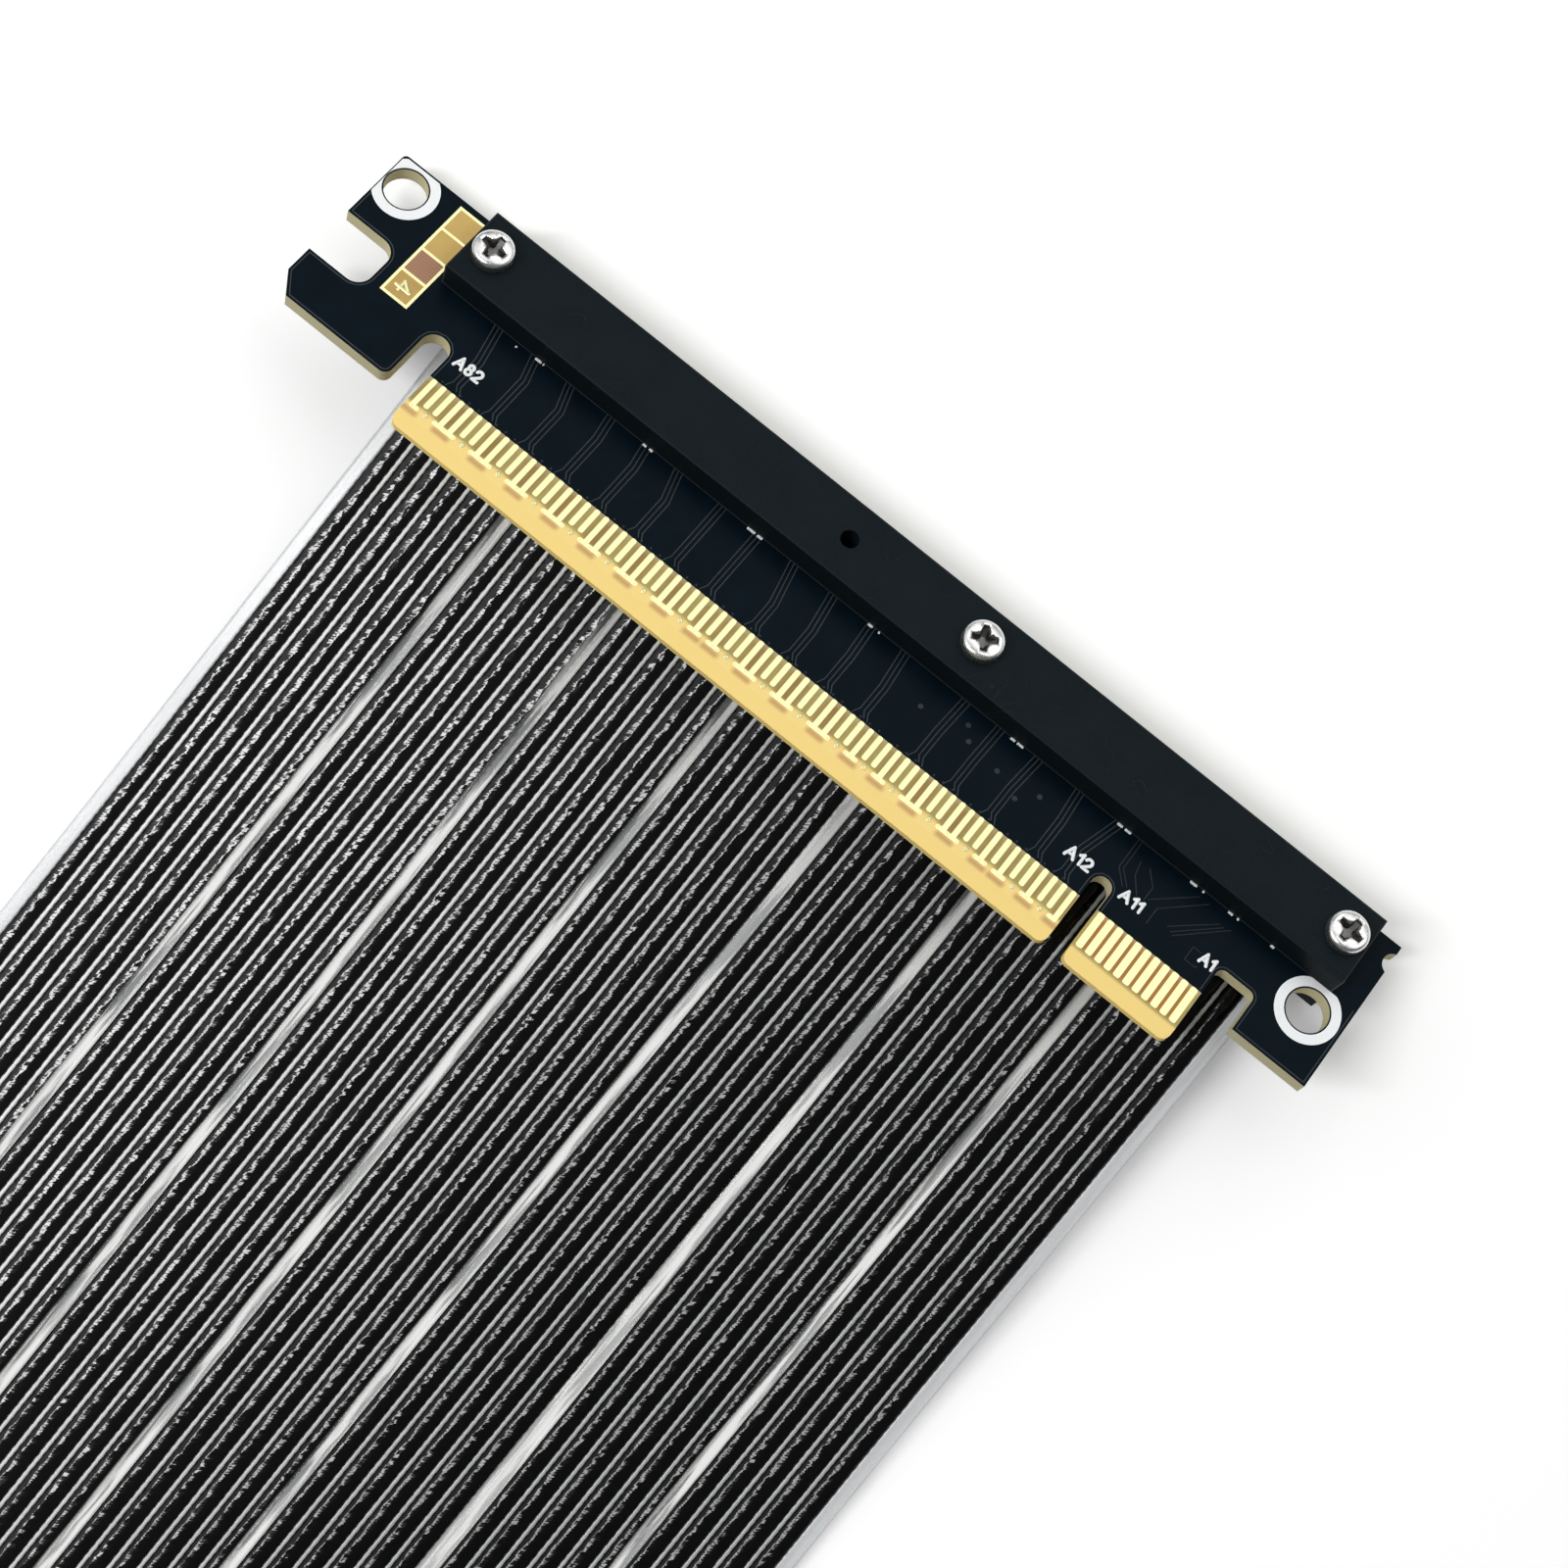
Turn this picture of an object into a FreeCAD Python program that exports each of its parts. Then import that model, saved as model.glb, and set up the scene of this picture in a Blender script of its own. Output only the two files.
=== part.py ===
import FreeCAD, Part
import math
import os
from FreeCAD import Placement, Rotation, Vector

# Flat shielded x16 card-edge extension cable, in millimetres and degrees.
# Plug sizes run from the key notch along the card edge (x), from the card edge towards
# the clamp bars (y) and from the A side of the board (z). Clamp sizes run from the
# middle of the bars (x) and from the mouth where the ribbons leave them (y).

# Card edge, set by the slot that it fits
PIN_PITCH = 1.0
PIN_COUNT = 82
FIRST_PIN_GROUP = 11
KEY_TO_PIN = 1.5
TAB_SIDE_MARGIN = 0.65
KEY_WIDTH = 1.95
KEY_DEPTH = 8.35
BEVEL_LENGTH = 1.3
BEVEL_DEPTH = 0.47
TAB_CORNER = 0.8

# Plug board outline
BOARD_THICKNESS = 1.6
BOARD_DEPTH = 20.8
EAR_CORNER = 0.45
ROUND_SHARE = 0.98
FOOT_NOTCH_WIDTH = 3.85
FOOT_NOTCH_TOP = 8.54
FOOT_NOTCH_CORNER = 0.7
FOOT_WIDTH = 7.75
FOOT_BOTTOM = 4.67
HOOK_NOTCH_WIDTH = 2.75
HOOK_NOTCH_TOP = 9.1
HOOK_WIDTH = 12.6
HOOK_BOTTOM = 2.9
HOOK_CORNER = 0.85
HOOK_CHAMFER_X = 1.5
HOOK_CHAMFER_Y = 2.1
HOOK_SLOT_LOW = 7.78
HOOK_SLOT_HIGH = 12.92
HOOK_SLOT_LENGTH = 5.65
HOOK_SLOT_CORNER = 1.55
EDGE_BITE_RADIUS = 1.04
EDGE_BITE_OUTSIDE = 0.29
EDGE_BITE_FROM_BACK = 1.85

# Mounting holes of the boards
HOLE_RADIUS = 2.0
LEFT_HOLE_FROM_END = 2.27
LEFT_HOLE_FROM_BACK = 2.7
RIGHT_HOLE_FROM_END = 3.47
RIGHT_HOLE_BAR_GAP = 0.74

# Gold fingers and the plated frame of the layer windows
FOIL = 0.05
PAD_TOP = 5.5
PAD_WIDTH = 0.52
PAD_LOW = 2.77
WIDE_PAD_WIDTH = 0.68
WIDE_PAD_LOW = 1.67
GROUND_PAD_LOW = 2.03
GROUND_FOOT_HEIGHT = 0.44
GROUND_FOOT_REACH = 0.47
WINDOW_BAR_GAP = 0.5
WINDOW_FROM_BACK = 0.65
WINDOW_SIDE = 2.45
WINDOW_COUNT = 4
WINDOW_FRAME = 0.27

# Clamp bars and their screws
BAR_OVERHANG_LEFT = 5.05
BAR_OVERHANG_RIGHT = 8.85
BAR_WIDTH = 7.2
BAR_HEIGHT = 3.1
BAR_CHAMFER = 0.18
BAR_BACK_GAP = 0.4
BAR_POCKET_DEPTH = 1.5
BAR_POCKET_LENGTH = 5.2
BAR_POCKET_CLEARANCE = 0.35
END_SCREW_INSET = 2.3
INNER_SCREW_OFFSET = 7.2
SCREW_RADIUS = 0.95
SCREW_HOLE_RADIUS = 1.1
TAPPED_HOLE_RADIUS = 0.98
SPARE_HOLE_RADIUS = 0.86
SCREW_HEAD_RADIUS = 1.8
SCREW_HEAD_HEIGHT = 1.35
SCREW_REACH = 0.4
SCREW_CROSS_LENGTH = 2.1
SCREW_CROSS_WIDTH = 0.5
SCREW_CROSS_DEPTH = 0.7

# Ribbons of shielded wire pairs
RIBBON_PAIRS = (6, 6, 6, 6, 6, 6, 5)
RIBBON_SHIFT = (0.0, 0.1, -0.4, -0.55, 0.0, 0.05, 0.0)
RIBBON_GAP = 0.66
BUNDLE_OVERHANG_LEFT = 0.43
BUNDLE_OVERHANG_RIGHT = 3.48
PAIR_WIDTH = 1.57
RIBBON_MARGIN = 0.12
RIBBON_THICKNESS = 1.0
RIBBON_SEAT_GAP = 0.05
RIBBON_IN_CLAMP = 1.8
ARC_SHARE = 0.45

# Stripped and soldered wire ends
SOLDER_WIDTH = 1.16
SOLDER_LENGTH = 1.0
SOLDER_HIGH = 0.75
SOLDER_LOW = 0.25

# How the plug lies, and the ribbons' route over the table: share of the way from the
# plug's card edge to the socket's mouth, and height of the ribbon's middle
PLUG_TILT = 23.0
PLUG_RUN = 4.0
ROUTE = (
    (-0.0071, 5.45),
    (0.0797, 4.17),
    (0.2531, 1.25),
    (0.5689, 0.62),
    (0.8062, 0.71),
    (0.92, 1.59),
)
SOCKET_RUN = 5.5
SOCKET_MOUTH = 183.7

# Socket board and slot
SOCKET_OVERHANG_LEFT = 6.8
SOCKET_OVERHANG_RIGHT = 2.5
SOCKET_MOUTH_MARGIN = 0.4
SOCKET_BACK_MARGIN = 1.5
SOCKET_HOLE_INSET = 4.5
SLOT_GAP = 1.5
HOUSING_WIDTH = 7.5
HOUSING_HEIGHT = 11.25
HOUSING_END_WALL = 2.35
HOUSING_CHAMFER = 0.5
SLOT_WIDTH = 1.8
SLOT_DEPTH = 8.6
SLOT_CLEARANCE = 0.15
SLOT_LEAD_IN = 0.6
SLOT_LIP = 1.6
CHAMBER_WIDTH = 4.8
KEY_WALL = 1.8
CONTACT_WIDTH = 0.5
CONTACT_THICKNESS = 0.2
CONTACT_ROOT = 1.75
CONTACT_NIP = 0.7
CONTACT_HEIGHT = 8.8

# Ground pins of the A side, by the bus standard
GROUND_A = (
    12, 15, 18, 20, 23, 24, 27, 28, 31, 34, 37, 38, 41, 42, 45, 46, 49,
    51, 54, 55, 58, 59, 62, 63, 66, 67, 70, 71, 74, 75, 78, 79, 82,
)

# Sizes that follow from those above
TAB_RIGHT = KEY_TO_PIN + (FIRST_PIN_GROUP - 1) * PIN_PITCH + TAB_SIDE_MARGIN
TAB_LEFT = KEY_TO_PIN + (PIN_COUNT - FIRST_PIN_GROUP - 1) * PIN_PITCH + TAB_SIDE_MARGIN
FOOT_LEFT = TAB_RIGHT + FOOT_NOTCH_WIDTH
BOARD_RIGHT = FOOT_LEFT + FOOT_WIDTH
HOOK_RIGHT = TAB_LEFT + HOOK_NOTCH_WIDTH
BOARD_LEFT = HOOK_RIGHT + HOOK_WIDTH
BAR_LEFT = TAB_LEFT + BAR_OVERHANG_LEFT
BAR_RIGHT = TAB_RIGHT + BAR_OVERHANG_RIGHT
BAR_LENGTH = BAR_LEFT + BAR_RIGHT
BAR_CENTRE = (BAR_LEFT - BAR_RIGHT) / 2
BAR_BACK = BOARD_DEPTH - BAR_BACK_GAP
BAR_FRONT = BAR_BACK - BAR_WIDTH
END_SCREW_OFFSET = BAR_LENGTH / 2 - END_SCREW_INSET
SCREW_OFFSETS = (-END_SCREW_OFFSET, INNER_SCREW_OFFSET, END_SCREW_OFFSET)
BUNDLE_LEFT = TAB_LEFT + BUNDLE_OVERHANG_LEFT
BUNDLE_WIDTH = BUNDLE_LEFT + TAB_RIGHT + BUNDLE_OVERHANG_RIGHT
RIBBON_COUNT = len(RIBBON_PAIRS)
RIBBON_EDGES = RIBBON_COUNT * (PAIR_WIDTH + 2 * RIBBON_MARGIN) + (RIBBON_COUNT - 1) * RIBBON_GAP
PAIR_PITCH = (BUNDLE_WIDTH - RIBBON_EDGES) / (sum(RIBBON_PAIRS) - RIBBON_COUNT)
SOCKET_LEFT = BAR_LEFT + SOCKET_OVERHANG_LEFT
SOCKET_RIGHT = BAR_RIGHT + SOCKET_OVERHANG_RIGHT
STACK_BOTTOM = -BOARD_THICKNESS - BAR_HEIGHT
RIBBON_Z = -BOARD_THICKNESS - RIBBON_SEAT_GAP - RIBBON_THICKNESS / 2
SLOT_Y = BAR_WIDTH + SLOT_GAP + HOUSING_WIDTH / 2
SOCKET_BACK = BAR_WIDTH + SLOT_GAP + HOUSING_WIDTH + SOCKET_BACK_MARGIN
SCREW_Y = BAR_WIDTH / 2
TILT = math.radians(PLUG_TILT)
KEY_X = (BOARD_LEFT - BOARD_RIGHT) / 2
PLUG_HEIGHT = (BAR_BACK - BAR_CHAMFER) * math.sin(TILT) - STACK_BOTTOM * math.cos(TILT)
PLUG_REACH = BAR_BACK * math.cos(TILT) + (BAR_HEIGHT - BAR_CHAMFER) * math.sin(TILT)
CARD_EDGE_Y = (SOCKET_MOUTH + SOCKET_BACK - PLUG_REACH) / 2


def box(x0, x1, y0, y1, z0, z1):
    return Part.makeBox(x1 - x0, y1 - y0, z1 - z0, Vector(x0, y0, z0))


def rounded_wire(corners):
    """Closed outline at z = 0 through corners (x, y, radius), with tangent arcs."""
    points = [Vector(x, y, 0) for x, y, _ in corners]
    stops = []
    for i, (_, _, radius) in enumerate(corners):
        here = points[i]
        back = (points[i - 1] - here).normalize()
        ahead = (points[(i + 1) % len(points)] - here).normalize()
        if radius == 0:
            stops.append((here, None, here))
            continue
        half = back.getAngle(ahead) / 2
        start = here + back * (radius / math.tan(half))
        end = here + ahead * (radius / math.tan(half))
        bisector = (back + ahead).normalize()
        middle = here + bisector * (radius / math.sin(half) - radius)
        stops.append((start, middle, end))
    edges = []
    for i, (start, middle, end) in enumerate(stops):
        if middle is not None:
            edges.append(Part.Arc(start, middle, end).toShape())
        next_start = stops[(i + 1) % len(stops)][0]
        if end.distanceToPoint(next_start) > 1e-6:
            edges.append(Part.LineSegment(end, next_start).toShape())
    return Part.Wire(edges)


def plate(corners, z0, z1):
    face = Part.Face(rounded_wire(corners))
    face.translate(Vector(0, 0, z0))
    return face.extrude(Vector(0, 0, z1 - z0))


def prism(profile, x0, x1):
    """Solid of a (y, z) polygon, drawn out along x."""
    points = [Vector(x0, y, z) for y, z in profile]
    face = Part.Face(Part.makePolygon(points + points[:1]))
    return face.extrude(Vector(x1 - x0, 0, 0))


def upright_hole(x, y, radius, z0, z1):
    return Part.makeCylinder(radius, z1 - z0, Vector(x, y, z0))


def pin_x(pin):
    if pin <= FIRST_PIN_GROUP:
        return KEY_TO_PIN + (FIRST_PIN_GROUP - pin) * PIN_PITCH
    return -KEY_TO_PIN - (pin - FIRST_PIN_GROUP - 1) * PIN_PITCH


def ribbon_width(index):
    return (RIBBON_PAIRS[index] - 1) * PAIR_PITCH + PAIR_WIDTH + 2 * RIBBON_MARGIN


def ribbon_x(index):
    before = sum(ribbon_width(i) + RIBBON_GAP for i in range(index))
    return -BUNDLE_LEFT + before + ribbon_width(index) / 2 + RIBBON_SHIFT[index]


def plug_board():
    """Board with the keyed card edge, the retention hook and the foot beyond pin 1."""
    half_key = KEY_WIDTH / 2
    notch_round = ROUND_SHARE * HOOK_NOTCH_WIDTH / 2
    key_round = ROUND_SHARE * half_key
    slot_end = -BOARD_LEFT + HOOK_SLOT_LENGTH
    outline = [
        (-TAB_LEFT, 0, TAB_CORNER),
        (-half_key, 0, TAB_CORNER),
        (-half_key, KEY_DEPTH, key_round),
        (half_key, KEY_DEPTH, key_round),
        (half_key, 0, TAB_CORNER),
        (TAB_RIGHT, 0, TAB_CORNER),
        (TAB_RIGHT, FOOT_NOTCH_TOP, FOOT_NOTCH_CORNER),
        (FOOT_LEFT, FOOT_NOTCH_TOP, FOOT_NOTCH_CORNER),
        (FOOT_LEFT, FOOT_BOTTOM, 0),
        (BOARD_RIGHT, FOOT_BOTTOM, 0),
        (BOARD_RIGHT, BOARD_DEPTH, 0),
        (-BOARD_LEFT, BOARD_DEPTH, EAR_CORNER),
        (-BOARD_LEFT, HOOK_SLOT_HIGH, 0),
        (slot_end, HOOK_SLOT_HIGH, HOOK_SLOT_CORNER),
        (slot_end, HOOK_SLOT_LOW, HOOK_SLOT_CORNER),
        (-BOARD_LEFT, HOOK_SLOT_LOW, 0),
        (-BOARD_LEFT, HOOK_BOTTOM + HOOK_CHAMFER_Y, 0),
        (-BOARD_LEFT + HOOK_CHAMFER_X, HOOK_BOTTOM, 0),
        (-HOOK_RIGHT, HOOK_BOTTOM, HOOK_CORNER),
        (-HOOK_RIGHT, HOOK_NOTCH_TOP, notch_round),
        (-TAB_LEFT, HOOK_NOTCH_TOP, notch_round),
    ]
    board = plate(outline, -BOARD_THICKNESS, 0)
    top_bevel = [(0, 0), (BEVEL_LENGTH, 0), (0, -BEVEL_DEPTH)]
    low_bevel = [(y, -BOARD_THICKNESS - z) for y, z in top_bevel]
    cuts = [prism(side, -TAB_LEFT, TAB_RIGHT) for side in (top_bevel, low_bevel)]
    right_hole_y = BAR_FRONT - RIGHT_HOLE_BAR_GAP - HOLE_RADIUS
    bite_x = BOARD_RIGHT + EDGE_BITE_OUTSIDE
    holes = [
        (-BOARD_LEFT + LEFT_HOLE_FROM_END, BOARD_DEPTH - LEFT_HOLE_FROM_BACK, HOLE_RADIUS),
        (BOARD_RIGHT - RIGHT_HOLE_FROM_END, right_hole_y, HOLE_RADIUS),
        (bite_x, BOARD_DEPTH - EDGE_BITE_FROM_BACK, EDGE_BITE_RADIUS),
    ]
    for offset in SCREW_OFFSETS:
        holes.append((offset - BAR_CENTRE, BAR_FRONT + SCREW_Y, SCREW_HOLE_RADIUS))
    for x, y, radius in holes:
        cuts.append(upright_hole(x, y, radius, -BOARD_THICKNESS, 0))
    return board.cut(cuts)


def finger_pads(z0, grounds=()):
    """Gold fingers of one side: wide power pins, narrow lane pins, and footed ground pins."""
    z1 = z0 + FOIL
    pads = []
    for pin in range(1, PIN_COUNT + 1):
        x = pin_x(pin)
        if pin <= FIRST_PIN_GROUP:
            half = WIDE_PAD_WIDTH / 2
            pads.append(box(x - half, x + half, WIDE_PAD_LOW, PAD_TOP, z0, z1))
            continue
        half = PAD_WIDTH / 2
        if pin not in grounds:
            pads.append(box(x - half, x + half, PAD_LOW, PAD_TOP, z0, z1))
            continue
        if pin - 1 in grounds:
            continue
        run = [pin]
        if pin + 1 in grounds:
            run.append(pin + 1)
        left_reach = 0 if run[-1] == PIN_COUNT else GROUND_FOOT_REACH
        right_reach = 0 if run[0] == FIRST_PIN_GROUP + 1 else GROUND_FOOT_REACH
        foot_left = pin_x(run[-1]) - half - left_reach
        foot_right = pin_x(run[0]) + half + right_reach
        foot_top = GROUND_PAD_LOW + GROUND_FOOT_HEIGHT
        foot = box(foot_left, foot_right, GROUND_PAD_LOW, foot_top, z0, z1)
        stems = []
        for stem_pin in run:
            stem_x = pin_x(stem_pin)
            stems.append(box(stem_x - half, stem_x + half, GROUND_PAD_LOW, PAD_TOP, z0, z1))
        pads.append(foot.fuse(stems).removeSplitter().Solids[0])
    return Part.makeCompound(pads)


def layer_window_frame():
    """Plated frame round the windows that show the board's copper layers."""
    step = WINDOW_SIDE + WINDOW_FRAME
    right = -BAR_LEFT - WINDOW_BAR_GAP
    left = right - WINDOW_SIDE - 2 * WINDOW_FRAME
    high = BOARD_DEPTH - WINDOW_FROM_BACK
    low = high - WINDOW_COUNT * step - WINDOW_FRAME
    frame = box(left, right, low, high, 0, FOIL)
    windows = []
    for i in range(WINDOW_COUNT):
        x0 = left + WINDOW_FRAME
        y0 = low + WINDOW_FRAME + i * step
        windows.append(box(x0, x0 + WINDOW_SIDE, y0, y0 + WINDOW_SIDE, 0, FOIL))
    return frame.cut(windows)


def top_bar():
    """Plain anodised bar above the board, with one spare tapped hole."""
    half = BAR_LENGTH / 2
    bar = box(-half, half, 0, BAR_WIDTH, 0, BAR_HEIGHT)
    rim = [e for e in bar.Edges if e.BoundBox.ZMin > BAR_HEIGHT / 2]
    bar = bar.makeChamfer(BAR_CHAMFER, rim)
    holes = [upright_hole(-INNER_SCREW_OFFSET, SCREW_Y, SPARE_HOLE_RADIUS, 0, BAR_HEIGHT)]
    for x in SCREW_OFFSETS:
        holes.append(upright_hole(x, SCREW_Y, SCREW_HOLE_RADIUS, 0, BAR_HEIGHT))
    return bar.cut(holes)


def bottom_bar():
    """Bar below the board, with a pocket open at the mouth for the ribbons' ends."""
    half = BAR_LENGTH / 2
    top = -BOARD_THICKNESS
    bar = box(-half, half, 0, BAR_WIDTH, STACK_BOTTOM, top)
    rim = [e for e in bar.Edges if e.BoundBox.ZMax < STACK_BOTTOM + BAR_HEIGHT / 2]
    bar = bar.makeChamfer(BAR_CHAMFER, rim)
    last = RIBBON_COUNT - 1
    left = ribbon_x(0) - ribbon_width(0) / 2 - BAR_POCKET_CLEARANCE + BAR_CENTRE
    right = ribbon_x(last) + ribbon_width(last) / 2 + BAR_POCKET_CLEARANCE + BAR_CENTRE
    cuts = [box(left, right, 0, BAR_POCKET_LENGTH, top - BAR_POCKET_DEPTH, top)]
    for x in SCREW_OFFSETS:
        cuts.append(upright_hole(x, SCREW_Y, TAPPED_HOLE_RADIUS, STACK_BOTTOM, top))
    return bar.cut(cuts)


def bar_screws():
    """Cross-recessed pan-head screws through the top bar and board, into the bottom bar."""
    head_top = BAR_HEIGHT + SCREW_HEAD_HEIGHT
    tip = STACK_BOTTOM + SCREW_REACH
    profile = [
        (0, tip),
        (SCREW_RADIUS, tip),
        (SCREW_RADIUS, BAR_HEIGHT),
        (SCREW_HEAD_RADIUS, BAR_HEIGHT),
        (SCREW_HEAD_RADIUS, head_top),
        (0, head_top),
    ]
    points = [Vector(0, radius, z) for radius, z in profile]
    face = Part.Face(Part.makePolygon(points + points[:1]))
    screw = face.revolve(Vector(0, 0, 0), Vector(0, 0, 1), 360)
    arm = SCREW_CROSS_LENGTH / 2
    half = SCREW_CROSS_WIDTH / 2
    low = head_top - SCREW_CROSS_DEPTH
    screw = screw.cut([
        box(-arm, arm, -half, half, low, head_top),
        box(-half, half, -arm, arm, low, head_top),
    ])
    screws = []
    for x in SCREW_OFFSETS:
        copy = screw.copy()
        copy.translate(Vector(x, SCREW_Y, 0))
        screws.append(copy)
    return Part.makeCompound(screws)


def solder_joints():
    """Wire ends of every pair, run up to their pads in a wedge of solder."""
    high = RIBBON_IN_CLAMP + SOLDER_LENGTH
    top = -BOARD_THICKNESS
    wedge = [
        (RIBBON_IN_CLAMP, top - SOLDER_HIGH),
        (RIBBON_IN_CLAMP, top),
        (high, top),
        (high, top - SOLDER_LOW),
    ]
    joints = []
    for index, pairs in enumerate(RIBBON_PAIRS):
        for pair in range(pairs):
            x = ribbon_x(index) + (pair - (pairs - 1) / 2) * PAIR_PITCH + BAR_CENTRE
            joints.append(prism(wedge, x - SOLDER_WIDTH / 2, x + SOLDER_WIDTH / 2))
    return Part.makeCompound(joints)


def slot_spans():
    """x ranges of the slot's long and short parts, on each side of the key wall."""
    return (
        (-TAB_LEFT - SLOT_CLEARANCE, -KEY_WALL / 2),
        (KEY_WALL / 2, TAB_RIGHT + SLOT_CLEARANCE),
    )


def socket_board():
    """Plain board of the socket end, clamped at the mouth side, with a hole at each end."""
    front = -SOCKET_MOUTH_MARGIN
    board = box(-SOCKET_LEFT, SOCKET_RIGHT, front, SOCKET_BACK, -BOARD_THICKNESS, 0)
    holes = [
        (-SOCKET_LEFT + SOCKET_HOLE_INSET, SLOT_Y, HOLE_RADIUS),
        (SOCKET_RIGHT - SOCKET_HOLE_INSET, SLOT_Y, HOLE_RADIUS),
    ]
    for offset in SCREW_OFFSETS:
        holes.append((offset - BAR_CENTRE, SCREW_Y, SCREW_HOLE_RADIUS))
    return board.cut([upright_hole(x, y, r, -BOARD_THICKNESS, 0) for x, y, r in holes])


def socket_housing():
    """Moulded slot body: a keyed card slot over two rows of spring contacts."""
    half = HOUSING_WIDTH / 2
    left = -TAB_LEFT - SLOT_CLEARANCE - HOUSING_END_WALL
    right = TAB_RIGHT + SLOT_CLEARANCE + HOUSING_END_WALL
    body = box(left, right, SLOT_Y - half, SLOT_Y + half, 0, HOUSING_HEIGHT)
    rim = [e for e in body.Edges if e.BoundBox.ZMin > HOUSING_HEIGHT / 2]
    body = body.makeChamfer(HOUSING_CHAMFER, rim)
    slot_half = SLOT_WIDTH / 2
    lead_half = slot_half + SLOT_LEAD_IN
    floor = HOUSING_HEIGHT - SLOT_DEPTH
    chamber_top = HOUSING_HEIGHT - SLOT_LIP
    lead_in = [
        (SLOT_Y - lead_half, HOUSING_HEIGHT),
        (SLOT_Y + lead_half, HOUSING_HEIGHT),
        (SLOT_Y, HOUSING_HEIGHT - lead_half),
    ]
    cuts = []
    for x0, x1 in slot_spans():
        cuts.append(box(x0, x1, SLOT_Y - slot_half, SLOT_Y + slot_half, floor, HOUSING_HEIGHT))
        cuts.append(prism(lead_in, x0, x1))
        for side in (-1, 1):
            inner = SLOT_Y + side * slot_half
            outer = SLOT_Y + side * CHAMBER_WIDTH / 2
            cuts.append(box(x0, x1, min(inner, outer), max(inner, outer), 0, chamber_top))
    return body.cut(cuts)


def socket_contacts(side):
    """One row of spring contacts, rooted in the board and leaning in to grip the card."""
    profile = [
        (CONTACT_ROOT, 0),
        (CONTACT_NIP, CONTACT_HEIGHT),
        (CONTACT_NIP + CONTACT_THICKNESS, CONTACT_HEIGHT),
        (CONTACT_ROOT + CONTACT_THICKNESS, 0),
    ]
    placed = [(SLOT_Y + side * y, z) for y, z in profile]
    half = CONTACT_WIDTH / 2
    contacts = []
    for pin in range(1, PIN_COUNT + 1):
        contacts.append(prism(placed, pin_x(pin) - half, pin_x(pin) + half))
    return Part.makeCompound(contacts)


def in_plug(y, z):
    """Place in the cable's frame of a point (y, z) of the tilted plug."""
    along = CARD_EDGE_Y + y * math.cos(TILT) + z * math.sin(TILT)
    height = PLUG_HEIGHT - y * math.sin(TILT) + z * math.cos(TILT)
    return along, height


def on_plug(shape):
    placement = Placement(Vector(KEY_X, CARD_EDGE_Y, PLUG_HEIGHT), Rotation(Vector(1, 0, 0), -PLUG_TILT))
    placed = shape.copy()
    placed.Placement = placement.multiply(placed.Placement)
    return placed


def on_plug_clamp(shape):
    placed = shape.copy()
    placed.translate(Vector(-BAR_CENTRE, BAR_FRONT, 0))
    return on_plug(placed)


def on_socket(shape):
    """The socket end faces the plug, so its depth runs the other way."""
    placed = shape.mirror(Vector(0, 0, 0), Vector(0, 1, 0))
    placed.translate(Vector(KEY_X, CARD_EDGE_Y - SOCKET_MOUTH, -STACK_BOTTOM))
    return placed


def on_socket_clamp(shape):
    placed = shape.copy()
    placed.translate(Vector(-BAR_CENTRE, 0, 0))
    return on_socket(placed)


def ribbon_route():
    """Middle line of the ribbons, from inside the plug's clamp to inside the socket's."""
    plug_end = BAR_FRONT + RIBBON_IN_CLAMP
    points = [in_plug(plug_end, RIBBON_Z), in_plug(plug_end - PLUG_RUN, RIBBON_Z)]
    points += [(CARD_EDGE_Y - share * SOCKET_MOUTH, height) for share, height in ROUTE]
    socket_end = CARD_EDGE_Y - SOCKET_MOUTH - RIBBON_IN_CLAMP
    socket_height = RIBBON_Z - STACK_BOTTOM
    points.append((socket_end + SOCKET_RUN, socket_height))
    points.append((socket_end, socket_height))
    return [Vector(0, y, z) for y, z in points]


def offset_line(points, radii, offset):
    """Edges of the route's straight runs and tangent arcs, moved sideways by offset."""
    last = len(points) - 1
    start = None
    edges = []
    for i in range(1, last):
        back = (points[i - 1] - points[i]).normalize()
        ahead = (points[i + 1] - points[i]).normalize()
        turn = math.pi - back.getAngle(ahead)
        reach = radii[i - 1] * math.tan(turn / 2)
        inward = (back + ahead).normalize()
        centre = points[i] + inward * (radii[i - 1] / math.cos(turn / 2))
        normal_in = Vector(0, back.z, -back.y)
        normal_out = Vector(0, -ahead.z, ahead.y)
        first = points[i] + back * reach + normal_in * offset
        second = points[i] + ahead * reach + normal_out * offset
        radius = first.distanceToPoint(centre)
        middle = centre - inward * radius
        line_start = start
        if line_start is None:
            line_start = points[0] + normal_in * offset
        edges.append(Part.LineSegment(line_start, first).toShape())
        edges.append(Part.Arc(first, middle, second).toShape())
        start = second
        end_normal = normal_out
    edges.append(Part.LineSegment(start, points[last] + end_normal * offset).toShape())
    return edges


def route_radii(points):
    radii = []
    for i in range(1, len(points) - 1):
        back = points[i - 1] - points[i]
        ahead = points[i + 1] - points[i]
        turn = math.pi - back.getAngle(ahead)
        radii.append(ARC_SHARE * min(back.Length, ahead.Length) / math.tan(turn / 2))
    return radii


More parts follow.
